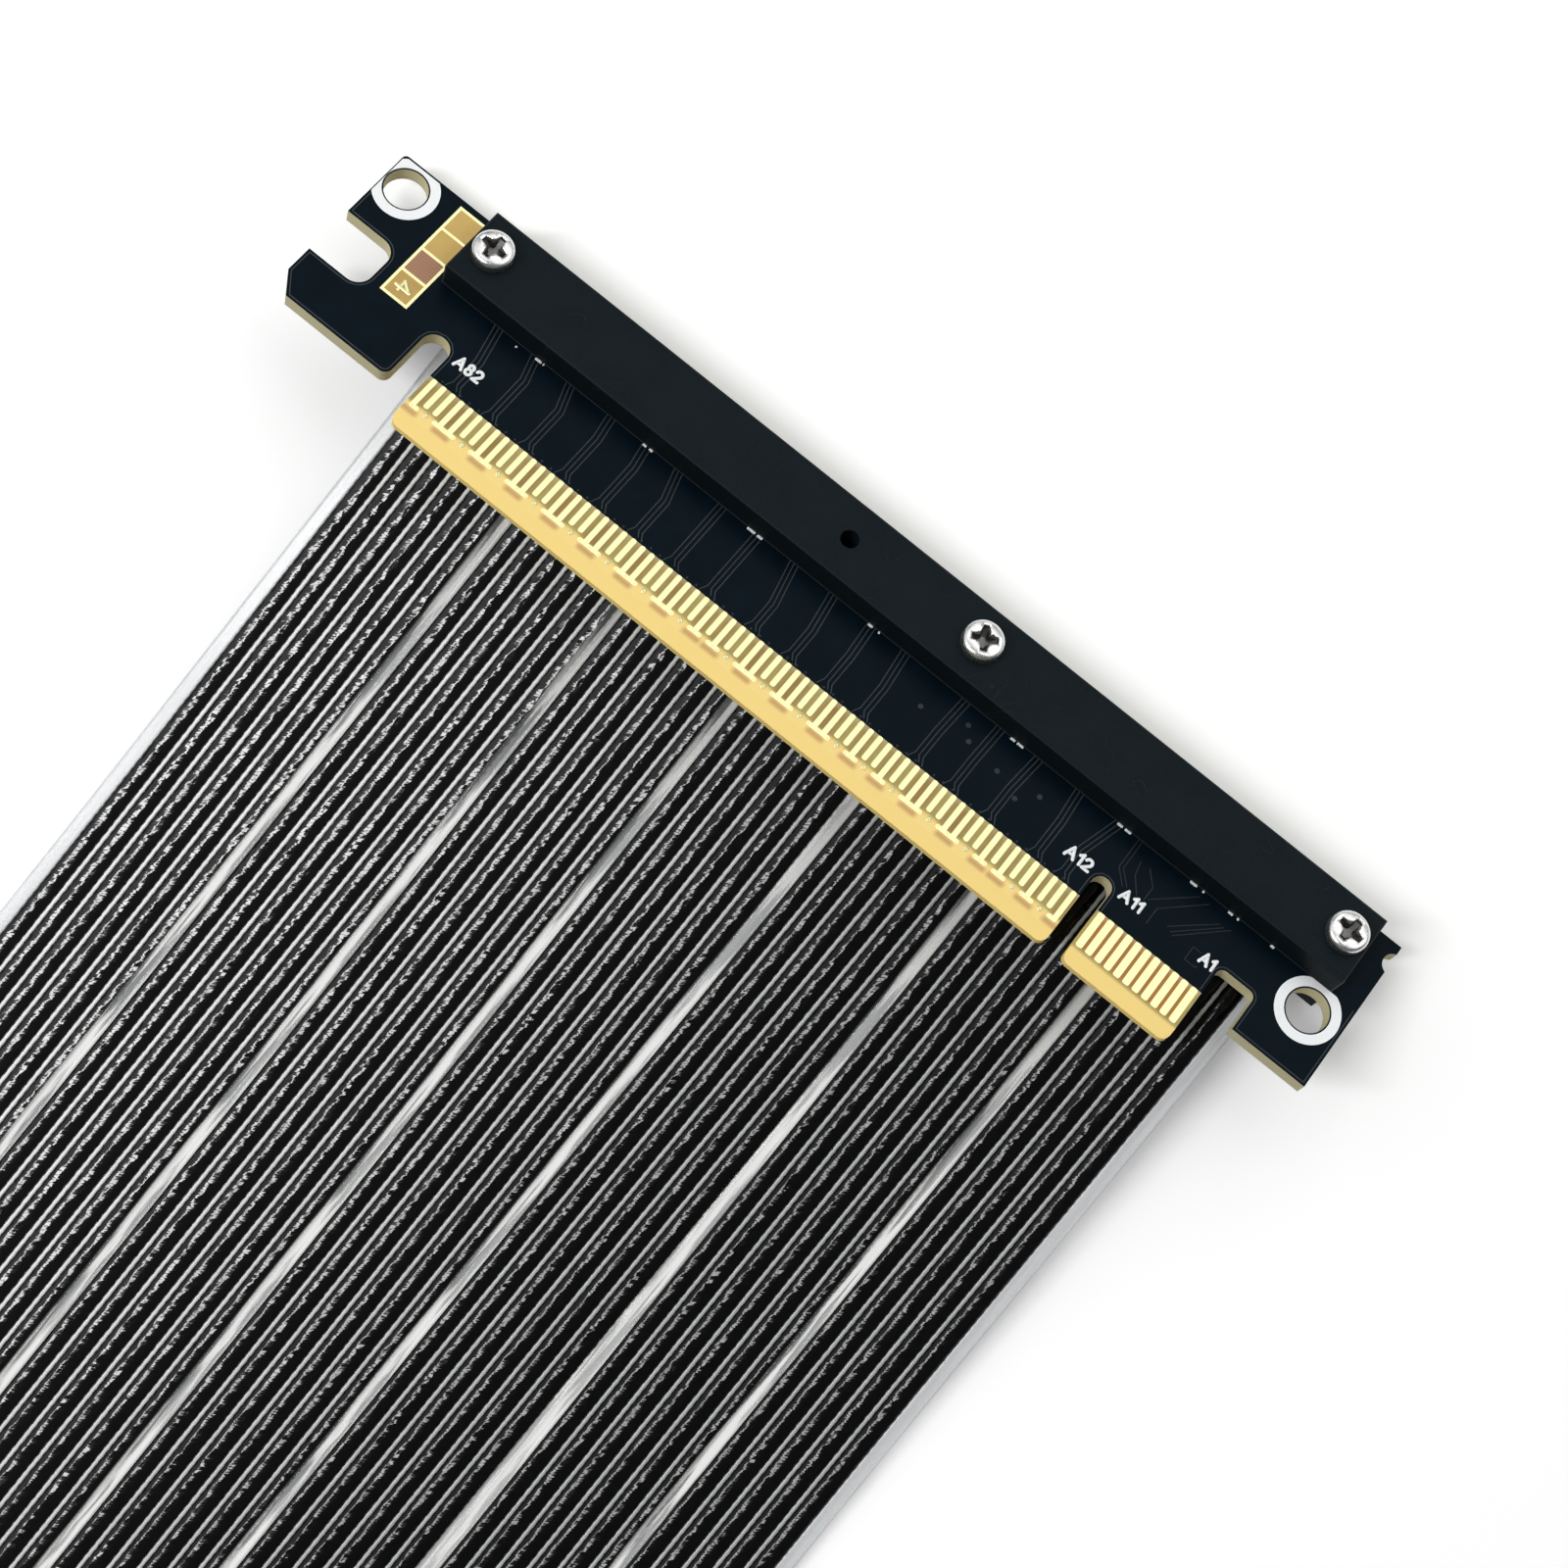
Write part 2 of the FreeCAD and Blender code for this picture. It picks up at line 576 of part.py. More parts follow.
def ribbon(index, points, radii):
    """Flat ribbon, its side view drawn out to the width of its wire pairs."""
    half = RIBBON_THICKNESS / 2
    upper = offset_line(points, radii, half)
    lower = offset_line(points, radii, -half)
    ends = []
    for i in (0, -1):
        edge_upper = upper[i].Vertexes[i].Point
        edge_lower = lower[i].Vertexes[i].Point
        ends.append(Part.LineSegment(edge_upper, edge_lower).toShape())
    face = Part.Face(Part.Wire(Part.__sortEdges__(upper + lower + ends)))
    width = ribbon_width(index)
    face.translate(Vector(KEY_X + ribbon_x(index) - width / 2, 0, 0))
    return face.extrude(Vector(width, 0, 0))


def main():
    route = ribbon_route()
    radii = route_radii(route)
    length = sum(edge.Length for edge in offset_line(route, radii, 0))
    print("ribbon length %.1f, bend radii %s" % (length, [round(r, 1) for r in radii]))

    upper_bar = top_bar()
    lower_bar = bottom_bar()
    screws = bar_screws()
    joints = solder_joints()
    nodes = {
        "plug_board": on_plug(plug_board()),
        "plug_contacts_a_side": on_plug(finger_pads(0, GROUND_A)),
        "plug_contacts_b_side": on_plug(finger_pads(-BOARD_THICKNESS - FOIL)),
        "plug_layer_window_frame": on_plug(layer_window_frame()),
        "plug_top_bar": on_plug_clamp(upper_bar),
        "plug_bottom_bar": on_plug_clamp(lower_bar),
        "plug_bar_screws": on_plug_clamp(screws),
        "plug_solder_joints": on_plug_clamp(joints),
        "socket_board": on_socket(socket_board()),
        "socket_housing": on_socket(socket_housing()),
        "socket_contacts_a_side": on_socket(socket_contacts(-1)),
        "socket_contacts_b_side": on_socket(socket_contacts(1)),
        "socket_top_bar": on_socket_clamp(upper_bar),
        "socket_bottom_bar": on_socket_clamp(lower_bar),
        "socket_bar_screws": on_socket_clamp(screws),
        "socket_solder_joints": on_socket_clamp(joints),
    }
    for index in range(RIBBON_COUNT):
        nodes["ribbon_%d" % (index + 1)] = ribbon(index, route, radii)

    os.makedirs("parts", exist_ok=True)
    for name, shape in nodes.items():
        shape.exportStep("parts/%s.step" % name)


main()
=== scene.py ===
import math

import bmesh
import bpy
from mathutils import Matrix, Vector


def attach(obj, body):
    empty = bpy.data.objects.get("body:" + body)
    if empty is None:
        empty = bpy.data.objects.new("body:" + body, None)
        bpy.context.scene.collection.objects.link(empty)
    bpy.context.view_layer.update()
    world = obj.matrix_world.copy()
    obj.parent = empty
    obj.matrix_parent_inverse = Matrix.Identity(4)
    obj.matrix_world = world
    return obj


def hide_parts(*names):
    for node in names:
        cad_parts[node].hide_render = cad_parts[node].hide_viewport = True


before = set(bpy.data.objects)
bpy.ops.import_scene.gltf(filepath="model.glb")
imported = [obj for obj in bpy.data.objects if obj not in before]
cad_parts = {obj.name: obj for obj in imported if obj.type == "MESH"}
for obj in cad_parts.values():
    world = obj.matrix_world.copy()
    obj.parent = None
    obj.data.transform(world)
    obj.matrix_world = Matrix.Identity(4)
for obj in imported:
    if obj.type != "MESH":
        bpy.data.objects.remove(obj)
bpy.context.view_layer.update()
scene = bpy.context.scene


# Plug board: a 1.6 mm glass-epoxy card, routed to its outline and coated with a near-black
# solder mask. Routed edges and hole walls show bare laminate, and the card edge has no mask.
MM = 0.001
PLUG_TURN = math.radians(-23)
PLUG_PLACE = Vector((31.875, 90.7404, 12.22695)) * MM
PLUG = Matrix.Translation(PLUG_PLACE) @ Matrix.Rotation(PLUG_TURN, 4, "X")
BOARD_THICKNESS = 1.6
MASK_LINE = 5.5
TAB_LEFT = -72.15
TAB_RIGHT = 12.15
TAB_SLACK = 0.1
FACE_SKIN = 0.004
TAB_COLOUR = (1.0, 0.785, 0.29, 1)
TAB_SHADE = (0.96, 0.69, 0.24, 1)


def feed(tree, socket, value):
    """Link a node or another socket to a socket, or set the socket's own value."""
    if isinstance(value, bpy.types.Node):
        value = value.outputs[0]
    if isinstance(value, bpy.types.NodeSocket):
        tree.links.new(value, socket)
    else:
        socket.default_value = value


def add(tree, kind, inputs, family="ShaderNode", **settings):
    """New node of a family and kind, with its settings and then its inputs."""
    made = tree.nodes.new(family + kind)
    for name, value in settings.items():
        setattr(made, name, value)
    for name, value in inputs.items():
        feed(tree, made.inputs[name], value)
    return made


def calc(tree, operation, *values):
    return add(tree, "Math", dict(enumerate(values)), operation=operation)


def between(tree, value, low, high, out_low=0.0, out_high=1.0):
    return add(tree, "MapRange", {
        "Value": value, "From Min": low, "From Max": high, "To Min": out_low, "To Max": out_high,
    }, interpolation_type="SMOOTHSTEP")


def tint(tree, share, low, high):
    made = add(tree, "Mix", {0: share, 6: low, 7: high}, data_type="RGBA")
    return made.outputs[2]


def axes_of(tree, place):
    return add(tree, "SeparateXYZ", {"Vector": place}).outputs


def paint(tree, shader, **values):
    """Feed a shader's sockets by their names."""
    for name, value in values.items():
        feed(tree, shader.inputs[name.replace("_", " ")], value)


def coating(name, **values):
    """New material, with values for the Principled shader's own sockets."""
    made = bpy.data.materials.new(name)
    made.use_nodes = True
    shader = made.node_tree.nodes["Principled BSDF"]
    paint(made.node_tree, shader, **values)
    return made, made.node_tree, shader


def place_in_mm(tree, place=(0, 0, 0), turn=0.0):
    """Object coordinates in millimetres, from a place and turned about X."""
    where = add(tree, "TexCoord", {}).outputs["Object"]
    return add(tree, "Mapping", {
        "Vector": where, "Location": place, "Rotation": (turn, 0, 0), "Scale": (MM, MM, MM),
    }, vector_type="TEXTURE")


def roughen(tree, shader, height, depth_mm):
    bump = add(tree, "Bump", {"Height": height, "Distance": depth_mm * MM})
    paint(tree, shader, Normal=bump)


def socketed(name, inputs, outputs, family="GeometryNode"):
    """New node tree with named sockets, which are plain numbers where no type follows."""
    tree = bpy.data.node_groups.new(name, family + "Tree")
    for way, labels in (("INPUT", inputs), ("OUTPUT", outputs)):
        for label in labels.split():
            label, _, kind = label.partition(":")
            kind = "NodeSocket" + (kind or "Float")
            tree.interface.new_socket(label, in_out=way, socket_type=kind)
    return tree, tree.nodes.new("NodeGroupInput").outputs, tree.nodes.new("NodeGroupOutput").inputs


grain, grain_in, grain_out = socketed(
    "surface_grain", "Place:Vector Fine Cloud", "Fine Cloud Specks", "ShaderNode")
fine = add(grain, "TexNoise", {
    "Vector": grain_in["Place"], "Scale": grain_in["Fine"], "Detail": 4.0,
})
cloud = add(grain, "TexNoise", {
    "Vector": grain_in["Place"], "Scale": grain_in["Cloud"], "Detail": 3.0,
})
speck = add(grain, "TexVoronoi", {"Vector": grain_in["Place"], "Scale": grain_in["Fine"]})
feed(grain, grain_out["Fine"], fine)
feed(grain, grain_out["Cloud"], cloud)
feed(grain, grain_out["Specks"], between(grain, speck, 0.16, 0.08))


def grained(tree, place, fine_scale, cloud_scale):
    return add(tree, "Group", {
        "Place": place, "Fine": fine_scale, "Cloud": cloud_scale,
    }, node_tree=grain).outputs


def board_finish(name, place, turn, has_tab):
    """Mask on both faces, laminate on routed walls, and on the card edge below the mask."""
    made, tree, shader = coating(name, Specular_IOR_Level=0.04)
    local = place_in_mm(tree, place, turn)
    axes = axes_of(tree, local)
    texture = grained(tree, local, 9.0, 0.35)
    mask = tint(tree, texture["Cloud"], (0.001, 0.0045, 0.0085, 1), (0.003, 0.009, 0.0145, 1))
    weave = add(tree, "TexWave", {
        "Vector": local, "Scale": 1.6, "Distortion": 1.5, "Detail": 2.0,
    }, bands_direction="Z")
    wall = tint(tree, weave.outputs["Fac"], (0.5, 0.45, 0.26, 1), (0.72, 0.67, 0.45, 1))
    below_top = calc(tree, "LESS_THAN", axes["Z"], -FACE_SKIN)
    above_foot = calc(tree, "GREATER_THAN", axes["Z"], FACE_SKIN - BOARD_THICKNESS)
    routed = calc(tree, "MULTIPLY", below_top, above_foot)
    colour = tint(tree, routed, mask, wall)
    bare = routed
    if has_tab:
        edge = calc(tree, "LESS_THAN", axes["Y"], MASK_LINE)
        past_left = calc(tree, "GREATER_THAN", axes["X"], TAB_LEFT - TAB_SLACK)
        past_right = calc(tree, "LESS_THAN", axes["X"], TAB_RIGHT + TAB_SLACK)
        tab = calc(tree, "MULTIPLY", edge, calc(tree, "MULTIPLY", past_left, past_right))
        colour = tint(tree, tab, colour, tint(tree, texture["Fine"], TAB_SHADE, TAB_COLOUR))
        bare = calc(tree, "MAXIMUM", routed, tab)
    paint(tree, shader, Base_Color=colour, Roughness=between(tree, bare, 0, 1, 0.34, 0.6))
    roughen(tree, shader, texture["Fine"], 0.006)
    return made


def dress(material, *nodes):
    for name in nodes:
        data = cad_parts[name].data
        data.materials.clear()
        data.materials.append(material)


dress(board_finish("plug_board_finish", PLUG_PLACE, PLUG_TURN, True), "plug_board")


# Inner copper: the planes inside the board, which show brown through the bare laminate of the
# card edge, most of all beside the ground fingers. A thin sheet of laminate carries the shade.
FIRST_PINS = 11
PIN_COUNT = 82
KEY_TO_PIN = 1.5
GROUND_PINS = (
    12, 15, 18, 20, 23, 24, 27, 28, 31, 34, 37, 38, 41, 42, 45, 46, 49,
    51, 54, 55, 58, 59, 62, 63, 66, 67, 70, 71, 74, 75, 78, 79, 82,
)
FOOT_PINS = [
    (pin, pin + 1 if pin + 1 in GROUND_PINS else pin)
    for pin in GROUND_PINS if pin - 1 not in GROUND_PINS
]
BEVEL_TOP = 1.3
KEY_SIDE = 0.975
FINGER_LOW = 2.77
WIDE_LOW = 1.67
POWER_BROWN = 0.9
POWER_FADE = 0.3
POWER_START = (WIDE_LOW - 0.25, WIDE_LOW + 0.4)
LANE_START = (FINGER_LOW - 0.5, FINGER_LOW - 0.1)
WEAVE_FADE = 0.45
PATCH_BROWN = 0.75
PATCH_HALF = 0.9
PATCH_FADE = 0.3
PATCH_START = (1.25, 1.7)
PATCH_END = (2.12, 1.9)
BELOW_FEET = 2.17
PALE_BAND = 0.7


def pin_x(pin):
    if pin <= FIRST_PINS:
        return KEY_TO_PIN + FIRST_PINS - pin
    return FIRST_PINS + 1 - KEY_TO_PIN - pin


def fade(value, low, high):
    share = min(max((value - low) / (high - low), 0.0), 1.0)
    return share * share * (3 - 2 * share)


def copper_share(x, v):
    """Brown of the planes, between fingers and in a soft patch below each ground foot."""
    if x > 0:
        inside = fade(x, pin_x(FIRST_PINS), pin_x(FIRST_PINS) + POWER_FADE)
        inside *= fade(x, pin_x(1), pin_x(1) - POWER_FADE)
        return inside * POWER_BROWN * fade(v, *POWER_START)
    place = pin_x(0) - 2 * KEY_TO_PIN + 1 - x
    pin = math.floor(place)
    grounds = (pin in GROUND_PINS) * (1 - place + pin) + (pin + 1 in GROUND_PINS) * (place - pin)
    beside = grounds * fade(v, *LANE_START)
    off_foot = min(abs(x - (pin_x(a) + pin_x(b)) / 2) for a, b in FOOT_PINS)
    patch = fade(off_foot, PATCH_HALF + PATCH_FADE, PATCH_HALF - PATCH_FADE)
    patch *= fade(v, *PATCH_START) * fade(v, *PATCH_END)
    return max(beside, PATCH_BROWN * patch)


def olive_share(x, v):
    """Dark weave of the laminate between the fingers."""
    low = WIDE_LOW if x > 0 else FINGER_LOW
    return fade(v, low - WEAVE_FADE, low)


def linked(name, data):
    made = bpy.data.objects.new(name, data)
    scene.collection.objects.link(made)
    return made


def piece(name, mesh, slot, *replaced):
    """Finished piece: a mesh in place, fixed to the cable's one rigid body."""
    made = linked(name, mesh)
    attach(made, "root")
    if replaced:
        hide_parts(*replaced)
    return made


def laminate_sheet():
    column = 0.1
    row_count = 18
    rows = [BEVEL_TOP + (MASK_LINE - BEVEL_TOP) * i / row_count for i in range(row_count + 1)]
    lift = 0.004
    mesh = bmesh.new()
    copper = mesh.verts.layers.float.new("copper")
    olive = mesh.verts.layers.float.new("olive")
    for left, right in ((TAB_LEFT, -KEY_SIDE), (KEY_SIDE, TAB_RIGHT)):
        count = round((right - left) / column)
        grid = []
        for i in range(count + 1):
            x = left + (right - left) * i / count
            line = []
            for v in rows:
                corner = mesh.verts.new(Vector((x, v, lift)) * MM)
                corner[copper] = copper_share(x, v)
                corner[olive] = olive_share(x, v)
                line.append(corner)
            grid.append(line)
        for a, b in zip(grid, grid[1:]):
            for i in range(row_count):
                mesh.faces.new((a[i], b[i], b[i + 1], a[i + 1]))
    made = bpy.data.meshes.new("card_edge_laminate")
    mesh.transform(PLUG)
    mesh.to_mesh(made)
    mesh.free()
    return made


def stored(tree, name):
    return add(tree, "Attribute", {}, attribute_name=name).outputs["Fac"]


laminate, tree, shader = coating(
    "inner_copper_in_laminate", Roughness=0.55, Specular_IOR_Level=0.3)
local = place_in_mm(tree, PLUG_PLACE, PLUG_TURN)
texture = grained(tree, local, 9.0, 1.2)
spots = axes_of(tree, local)
bare = tint(tree, texture["Fine"], TAB_SHADE, TAB_COLOUR)
woven = tint(tree, texture["Cloud"], (0.36, 0.29, 0.09, 1), (0.46, 0.37, 0.125, 1))
brown = tint(tree, texture["Cloud"], (0.29, 0.185, 0.055, 1), (0.36, 0.235, 0.075, 1))
beside_power = calc(tree, "GREATER_THAN", spots["X"], 0.0)
brown = tint(tree, beside_power, brown, (0.4, 0.165, 0.03, 1))
below_feet = calc(tree, "LESS_THAN", spots["Y"], BELOW_FEET)
below_feet = calc(tree, "MULTIPLY", below_feet, calc(tree, "SUBTRACT", 1.0, beside_power))
brown = tint(tree, below_feet, brown, (0.5, 0.24, 0.1, 1))
pale = between(tree, spots["Y"], MASK_LINE - PALE_BAND, MASK_LINE, 0.0, 0.4)
shaded = tint(tree, stored(tree, "olive"), bare, woven)
shaded = tint(tree, stored(tree, "copper"), shaded, brown)
paint(tree, shader, Base_Color=tint(tree, pale, shaded, (0.55, 0.47, 0.3, 1)))
sheet = laminate_sheet()
sheet.materials.append(laminate)
piece("card_edge_laminate", sheet, "board")


# Gold fingers: plated copper pads with rounded corners, in a row on each side of the card
# edge. The ground fingers of the upper side reach lower and end in feet.
FOIL = 0.05
FOIL_STEP = 0.003
FINGER_WIDTH = 0.52
WIDE_WIDTH = 0.68
GROUND_LOW = 2.03
FOOT_HEIGHT = 0.44
FOOT_REACH = 0.47
FINGER_CORNER = 0.18


def shape(tree, kind, inputs, **settings):
    return add(tree, kind, inputs, "GeometryNode", **settings)


pads, pads_in, pads_out = socketed(
    "plated_pads", "Places:Geometry Width Length Corner Foil Finish:Material", "Pads:Geometry")


def finished(tree, geometry, finish, result):
    """Last two nodes of a tree: plain geometry with its material."""
    real = shape(tree, "RealizeInstances", {"Geometry": geometry})
    painted = shape(tree, "SetMaterial", {"Geometry": real, "Material": finish})
    feed(tree, result, painted)


outline = shape(pads, "CurvePrimitiveQuadrilateral", {
    "Width": pads_in["Width"], "Height": pads_in["Length"],
})
rounded = shape(pads, "FilletCurve", {
    "Curve": outline, "Count": 3, "Radius": pads_in["Corner"], "Limit Radius": True,
}, mode="POLY")
face = shape(pads, "FillCurve", {"Curve": rounded}, mode="NGONS")
raised = shape(pads, "ExtrudeMesh", {
    "Mesh": face, "Offset": (0, 0, 1), "Offset Scale": pads_in["Foil"], "Individual": False,
}, mode="FACES")
under = shape(pads, "FlipFaces", {"Mesh": face})


def merged(tree, first, second):
    made = shape(tree, "JoinGeometry", {0: first})
    feed(tree, made.inputs[0], second)
    return made


closed = shape(pads, "MergeByDistance", {
    "Geometry": merged(pads, raised, under), "Distance": 0.001 * MM,
})
spread = shape(pads, "InstanceOnPoints", {"Points": pads_in["Places"], "Instance": closed})
finished(pads, spread, pads_in["Finish"], pads_out["Pads"])


def evaluated(holder):
    """Plain mesh of an object, which is then put away."""
    graph = bpy.context.evaluated_depsgraph_get()
    made = bpy.data.meshes.new_from_object(
        holder.evaluated_get(graph), preserve_all_data_layers=True, depsgraph=graph)
    bpy.data.objects.remove(holder)
    return made


def grown(source, tree, **values):
    """Plain mesh that a Geometry Nodes tree makes of a source mesh."""
    holder = linked("holder", source)
    modifier = holder.modifiers.new("nodes", "NODES")
    modifier.node_group = tree
    for item in tree.interface.items_tree:
        if item.in_out == "INPUT" and item.name in values:
            modifier[item.identifier] = values[item.name]
    made = evaluated(holder)
    if made.materials[0] is None:
        made.materials.pop(index=0)
    return made


def points_mesh(places):
    made = bpy.data.meshes.new("places")
    made.from_pydata([Vector(place) * MM for place in places], [], [])
    return made


def fixed(name, meshes, matrix, slot, *replaced):
    """Piece of several meshes with all their materials, moved into place together."""
    whole = bmesh.new()
    made = bpy.data.meshes.new(name)
    for mesh in meshes:
        first = len(whole.faces)
        whole.from_mesh(mesh)
        whole.faces.ensure_lookup_table()
        slots = []
        for material in mesh.materials:
            if material.name not in made.materials:
                made.materials.append(material)
            slots.append(made.materials.find(material.name))
        for face in whole.faces[first:]:
            face.material_index = slots[face.material_index]
    whole.transform(matrix)
    whole.to_mesh(made)
    whole.free()
    piece(name, made, slot, *replaced)


def mottled(name, fine, cloud, low, high, by="Cloud", rough=None, bump=None, **values):
    """Finish in two shades of a colour, with its own range of roughness and depth of bump."""
    made, tree, shader = coating(name, **values)
    texture = grained(tree, place_in_mm(tree), fine, cloud)
    paint(tree, shader, Base_Color=tint(tree, texture[by], low, high))
    if rough:
        paint(tree, shader, Roughness=between(tree, texture["Fine"], 0.3, 0.7, *rough))
    if bump:
        roughen(tree, shader, texture["Fine"], bump)
    return made


gold = mottled(
    "gold_plating", 14.0, 1.1, (1.0, 0.94, 0.47, 1), (1.0, 0.98, 0.57, 1),
    rough=(0.36, 0.5), bump=0.004, Metallic=0.6)


def pad_kind(rects, corner, height, finish):
    """Pads of one size, from their rectangles (x0, x1, v0, v1)."""
    x0, x1, v0, v1 = rects[0]
    places = [((r[0] + r[1]) / 2, (r[2] + r[3]) / 2, 0) for r in rects]
    return grown(
        points_mesh(places), pads, Width=(x1 - x0) * MM, Length=(v1 - v0) * MM,
        Corner=corner * MM, Foil=height * MM, Finish=finish)


def finger_rects(has_feet):
    """Rectangles of one side's fingers, by kind."""
    wide = []
    lanes = []
    stems = []
    feet = {}
    half = FINGER_WIDTH / 2
    for pin in range(1, PIN_COUNT + 1):
        x = pin_x(pin)
        if pin <= FIRST_PINS:
            wide.append((x - WIDE_WIDTH / 2, x + WIDE_WIDTH / 2, WIDE_LOW, MASK_LINE))
        elif has_feet and pin in GROUND_PINS:
            stems.append((x - half, x + half, GROUND_LOW, MASK_LINE))
        else:
            lanes.append((x - half, x + half, FINGER_LOW, MASK_LINE))
    for first, last in FOOT_PINS if has_feet else ():
        left = pin_x(last) - half - (0 if last == PIN_COUNT else FOOT_REACH)
        right = pin_x(first) + half + (0 if first == FIRST_PINS + 1 else FOOT_REACH)
        foot = (left, right, GROUND_LOW, GROUND_LOW + FOOT_HEIGHT)
        feet.setdefault(round(right - left, 3), []).append(foot)
    return [kind for kind in [wide, lanes, stems] + list(feet.values()) if kind]


def fingers(has_feet):
    return [
        pad_kind(rects, FINGER_CORNER, FOIL - i * FOIL_STEP, gold)
        for i, rects in enumerate(finger_rects(has_feet))
    ]


OTHER_SIDE = Matrix.Translation((0, 0, (-BOARD_THICKNESS - FOIL) * MM))
fixed("fingers_a_side", fingers(True), PLUG, "gold", "plug_contacts_a_side")
fixed("fingers_b_side", fingers(False), PLUG @ OTHER_SIDE, "gold", "plug_contacts_b_side")
dress(gold, "plug_layer_window_frame", "socket_contacts_a_side", "socket_contacts_b_side")


# Vias of the card edge: small plated rings in the laminate below each lane pair, and filled
# holes in the feet of the ground fingers, seen as faint dots.
VIA_V = 2.25
VIA_RADIUS = 0.15
VIA_BAND = 0.18
VIA_FOIL = 0.016
DOT_SIDE = 0.12
DOT_HEIGHT = 0.006
DOT_INSET = 0.2
HALF_PITCH = 0.5
ROUND_SLACK = 0.001

rings, rings_in, rings_out = socketed(
    "plated_rings", "Places:Geometry Radius Band Foil Finish:Material", "Rings:Geometry")
circle = shape(rings, "CurvePrimitiveCircle", {
    "Resolution": 12, "Radius": rings_in["Radius"],
}, mode="RADIUS")
upright = shape(rings, "SetCurveNormal", {"Curve": circle}, mode="Z_UP")
section = shape(rings, "CurvePrimitiveQuadrilateral", {
    "Width": rings_in["Band"], "Height": rings_in["Foil"],
})
hoop = shape(rings, "CurveToMesh", {"Curve": upright, "Profile Curve": section})
spread = shape(rings, "InstanceOnPoints", {"Points": rings_in["Places"], "Instance": hoop})
finished(rings, spread, rings_in["Finish"], rings_out["Rings"])

drilled = mottled(
    "filled_hole", 9.0, 1.0, (0.88, 0.7, 0.28, 1), (0.98, 0.8, 0.38, 1), by="Fine",
    Roughness=0.8, Specular_IOR_Level=0.1)


def dots(places, side, base, height, finish):
    """Round flat dots, with their middles at (x, v), on a face at a height."""
    rects = [(x - side / 2, x + side / 2, v - side / 2, v + side / 2) for x, v in places]
    made = pad_kind(rects, side / 2 - ROUND_SLACK, height, finish)
    made.transform(Matrix.Translation((0, 0, base * MM)))
    return made


lane_vias = [
    (pin_x(pin) - HALF_PITCH, VIA_V) for pin in range(FIRST_PINS + 1, PIN_COUNT)
    if pin not in GROUND_PINS and pin + 1 not in GROUND_PINS
]
foot_dots = []
for first, last in FOOT_PINS:
    reach = FINGER_WIDTH / 2 + FOOT_REACH - DOT_INSET
    middle = (pin_x(first) + pin_x(last)) / 2
    foot_dots += [(x, VIA_V) for x in (middle, pin_x(first) + reach, pin_x(last) - reach)]
via_rings = grown(
    points_mesh([(x, v, VIA_FOIL / 2) for x, v in lane_vias]), rings, Radius=VIA_RADIUS * MM,
    Band=VIA_BAND * MM, Foil=VIA_FOIL * MM, Finish=gold)
fixed("card_edge_vias", [via_rings], PLUG, "gold")
via_holes = [
    dots(lane_vias, 2 * VIA_RADIUS - VIA_BAND, DOT_HEIGHT, DOT_HEIGHT, drilled),
    dots(foot_dots[3:-2], DOT_SIDE, FOIL, DOT_HEIGHT, drilled),
]
fixed("card_edge_via_holes", via_holes, PLUG, "board")


# Layer windows: four openings in the mask inside a plated frame, each showing how deep one
# copper layer lies. The lowest carries the layer's number, raised and plated.
WINDOW_LEFT = -80.42
WINDOW_LOW = 9.27
WINDOW_SIDE = 2.45
WINDOW_PITCH = 2.72
WINDOW_FILL = 0.02
WINDOW_CORNER = 0.05
WINDOW_SLACK = 0.1
DIGIT_WIDTH = 1.3
DIGIT_HEIGHT = 1.75
STROKE = 0.29
STROKE_STEP = 0.002
STROKE_LEVELS = 4
JOINT_HEIGHT = 0.8
LETTER_GAP = 0.32

layers, tree, shader = coating("layers_in_windows", Roughness=0.5, Specular_IOR_Level=0.3)
local = place_in_mm(tree, PLUG_PLACE, PLUG_TURN)
texture = grained(tree, local, 7.0, 0.9)
hatch = add(tree, "TexWave", {
    "Vector": local, "Scale": 1.1, "Distortion": 2.5, "Detail": 2.0,
}, bands_direction="Y")
axes = axes_of(tree, local)
lowest = tint(tree, texture["Cloud"], (0.45, 0.29, 0.08, 1), (0.6, 0.4, 0.13, 1))
second = tint(tree, hatch.outputs["Fac"], (0.36, 0.18, 0.1, 1), (0.42, 0.23, 0.14, 1))
upper = tint(tree, texture["Cloud"], (0.54, 0.36, 0.1, 1), (0.68, 0.47, 0.15, 1))
second_low = WINDOW_LOW + WINDOW_PITCH - WINDOW_SLACK
past_first = calc(tree, "GREATER_THAN", axes["Y"], second_low)
past_second = calc(tree, "GREATER_THAN", axes["Y"], second_low + WINDOW_PITCH)
lower_two = tint(tree, past_first, lowest, second)
paint(tree, shader, Base_Color=tint(tree, past_second, lower_two, upper))
roughen(tree, shader, texture["Fine"], 0.01)


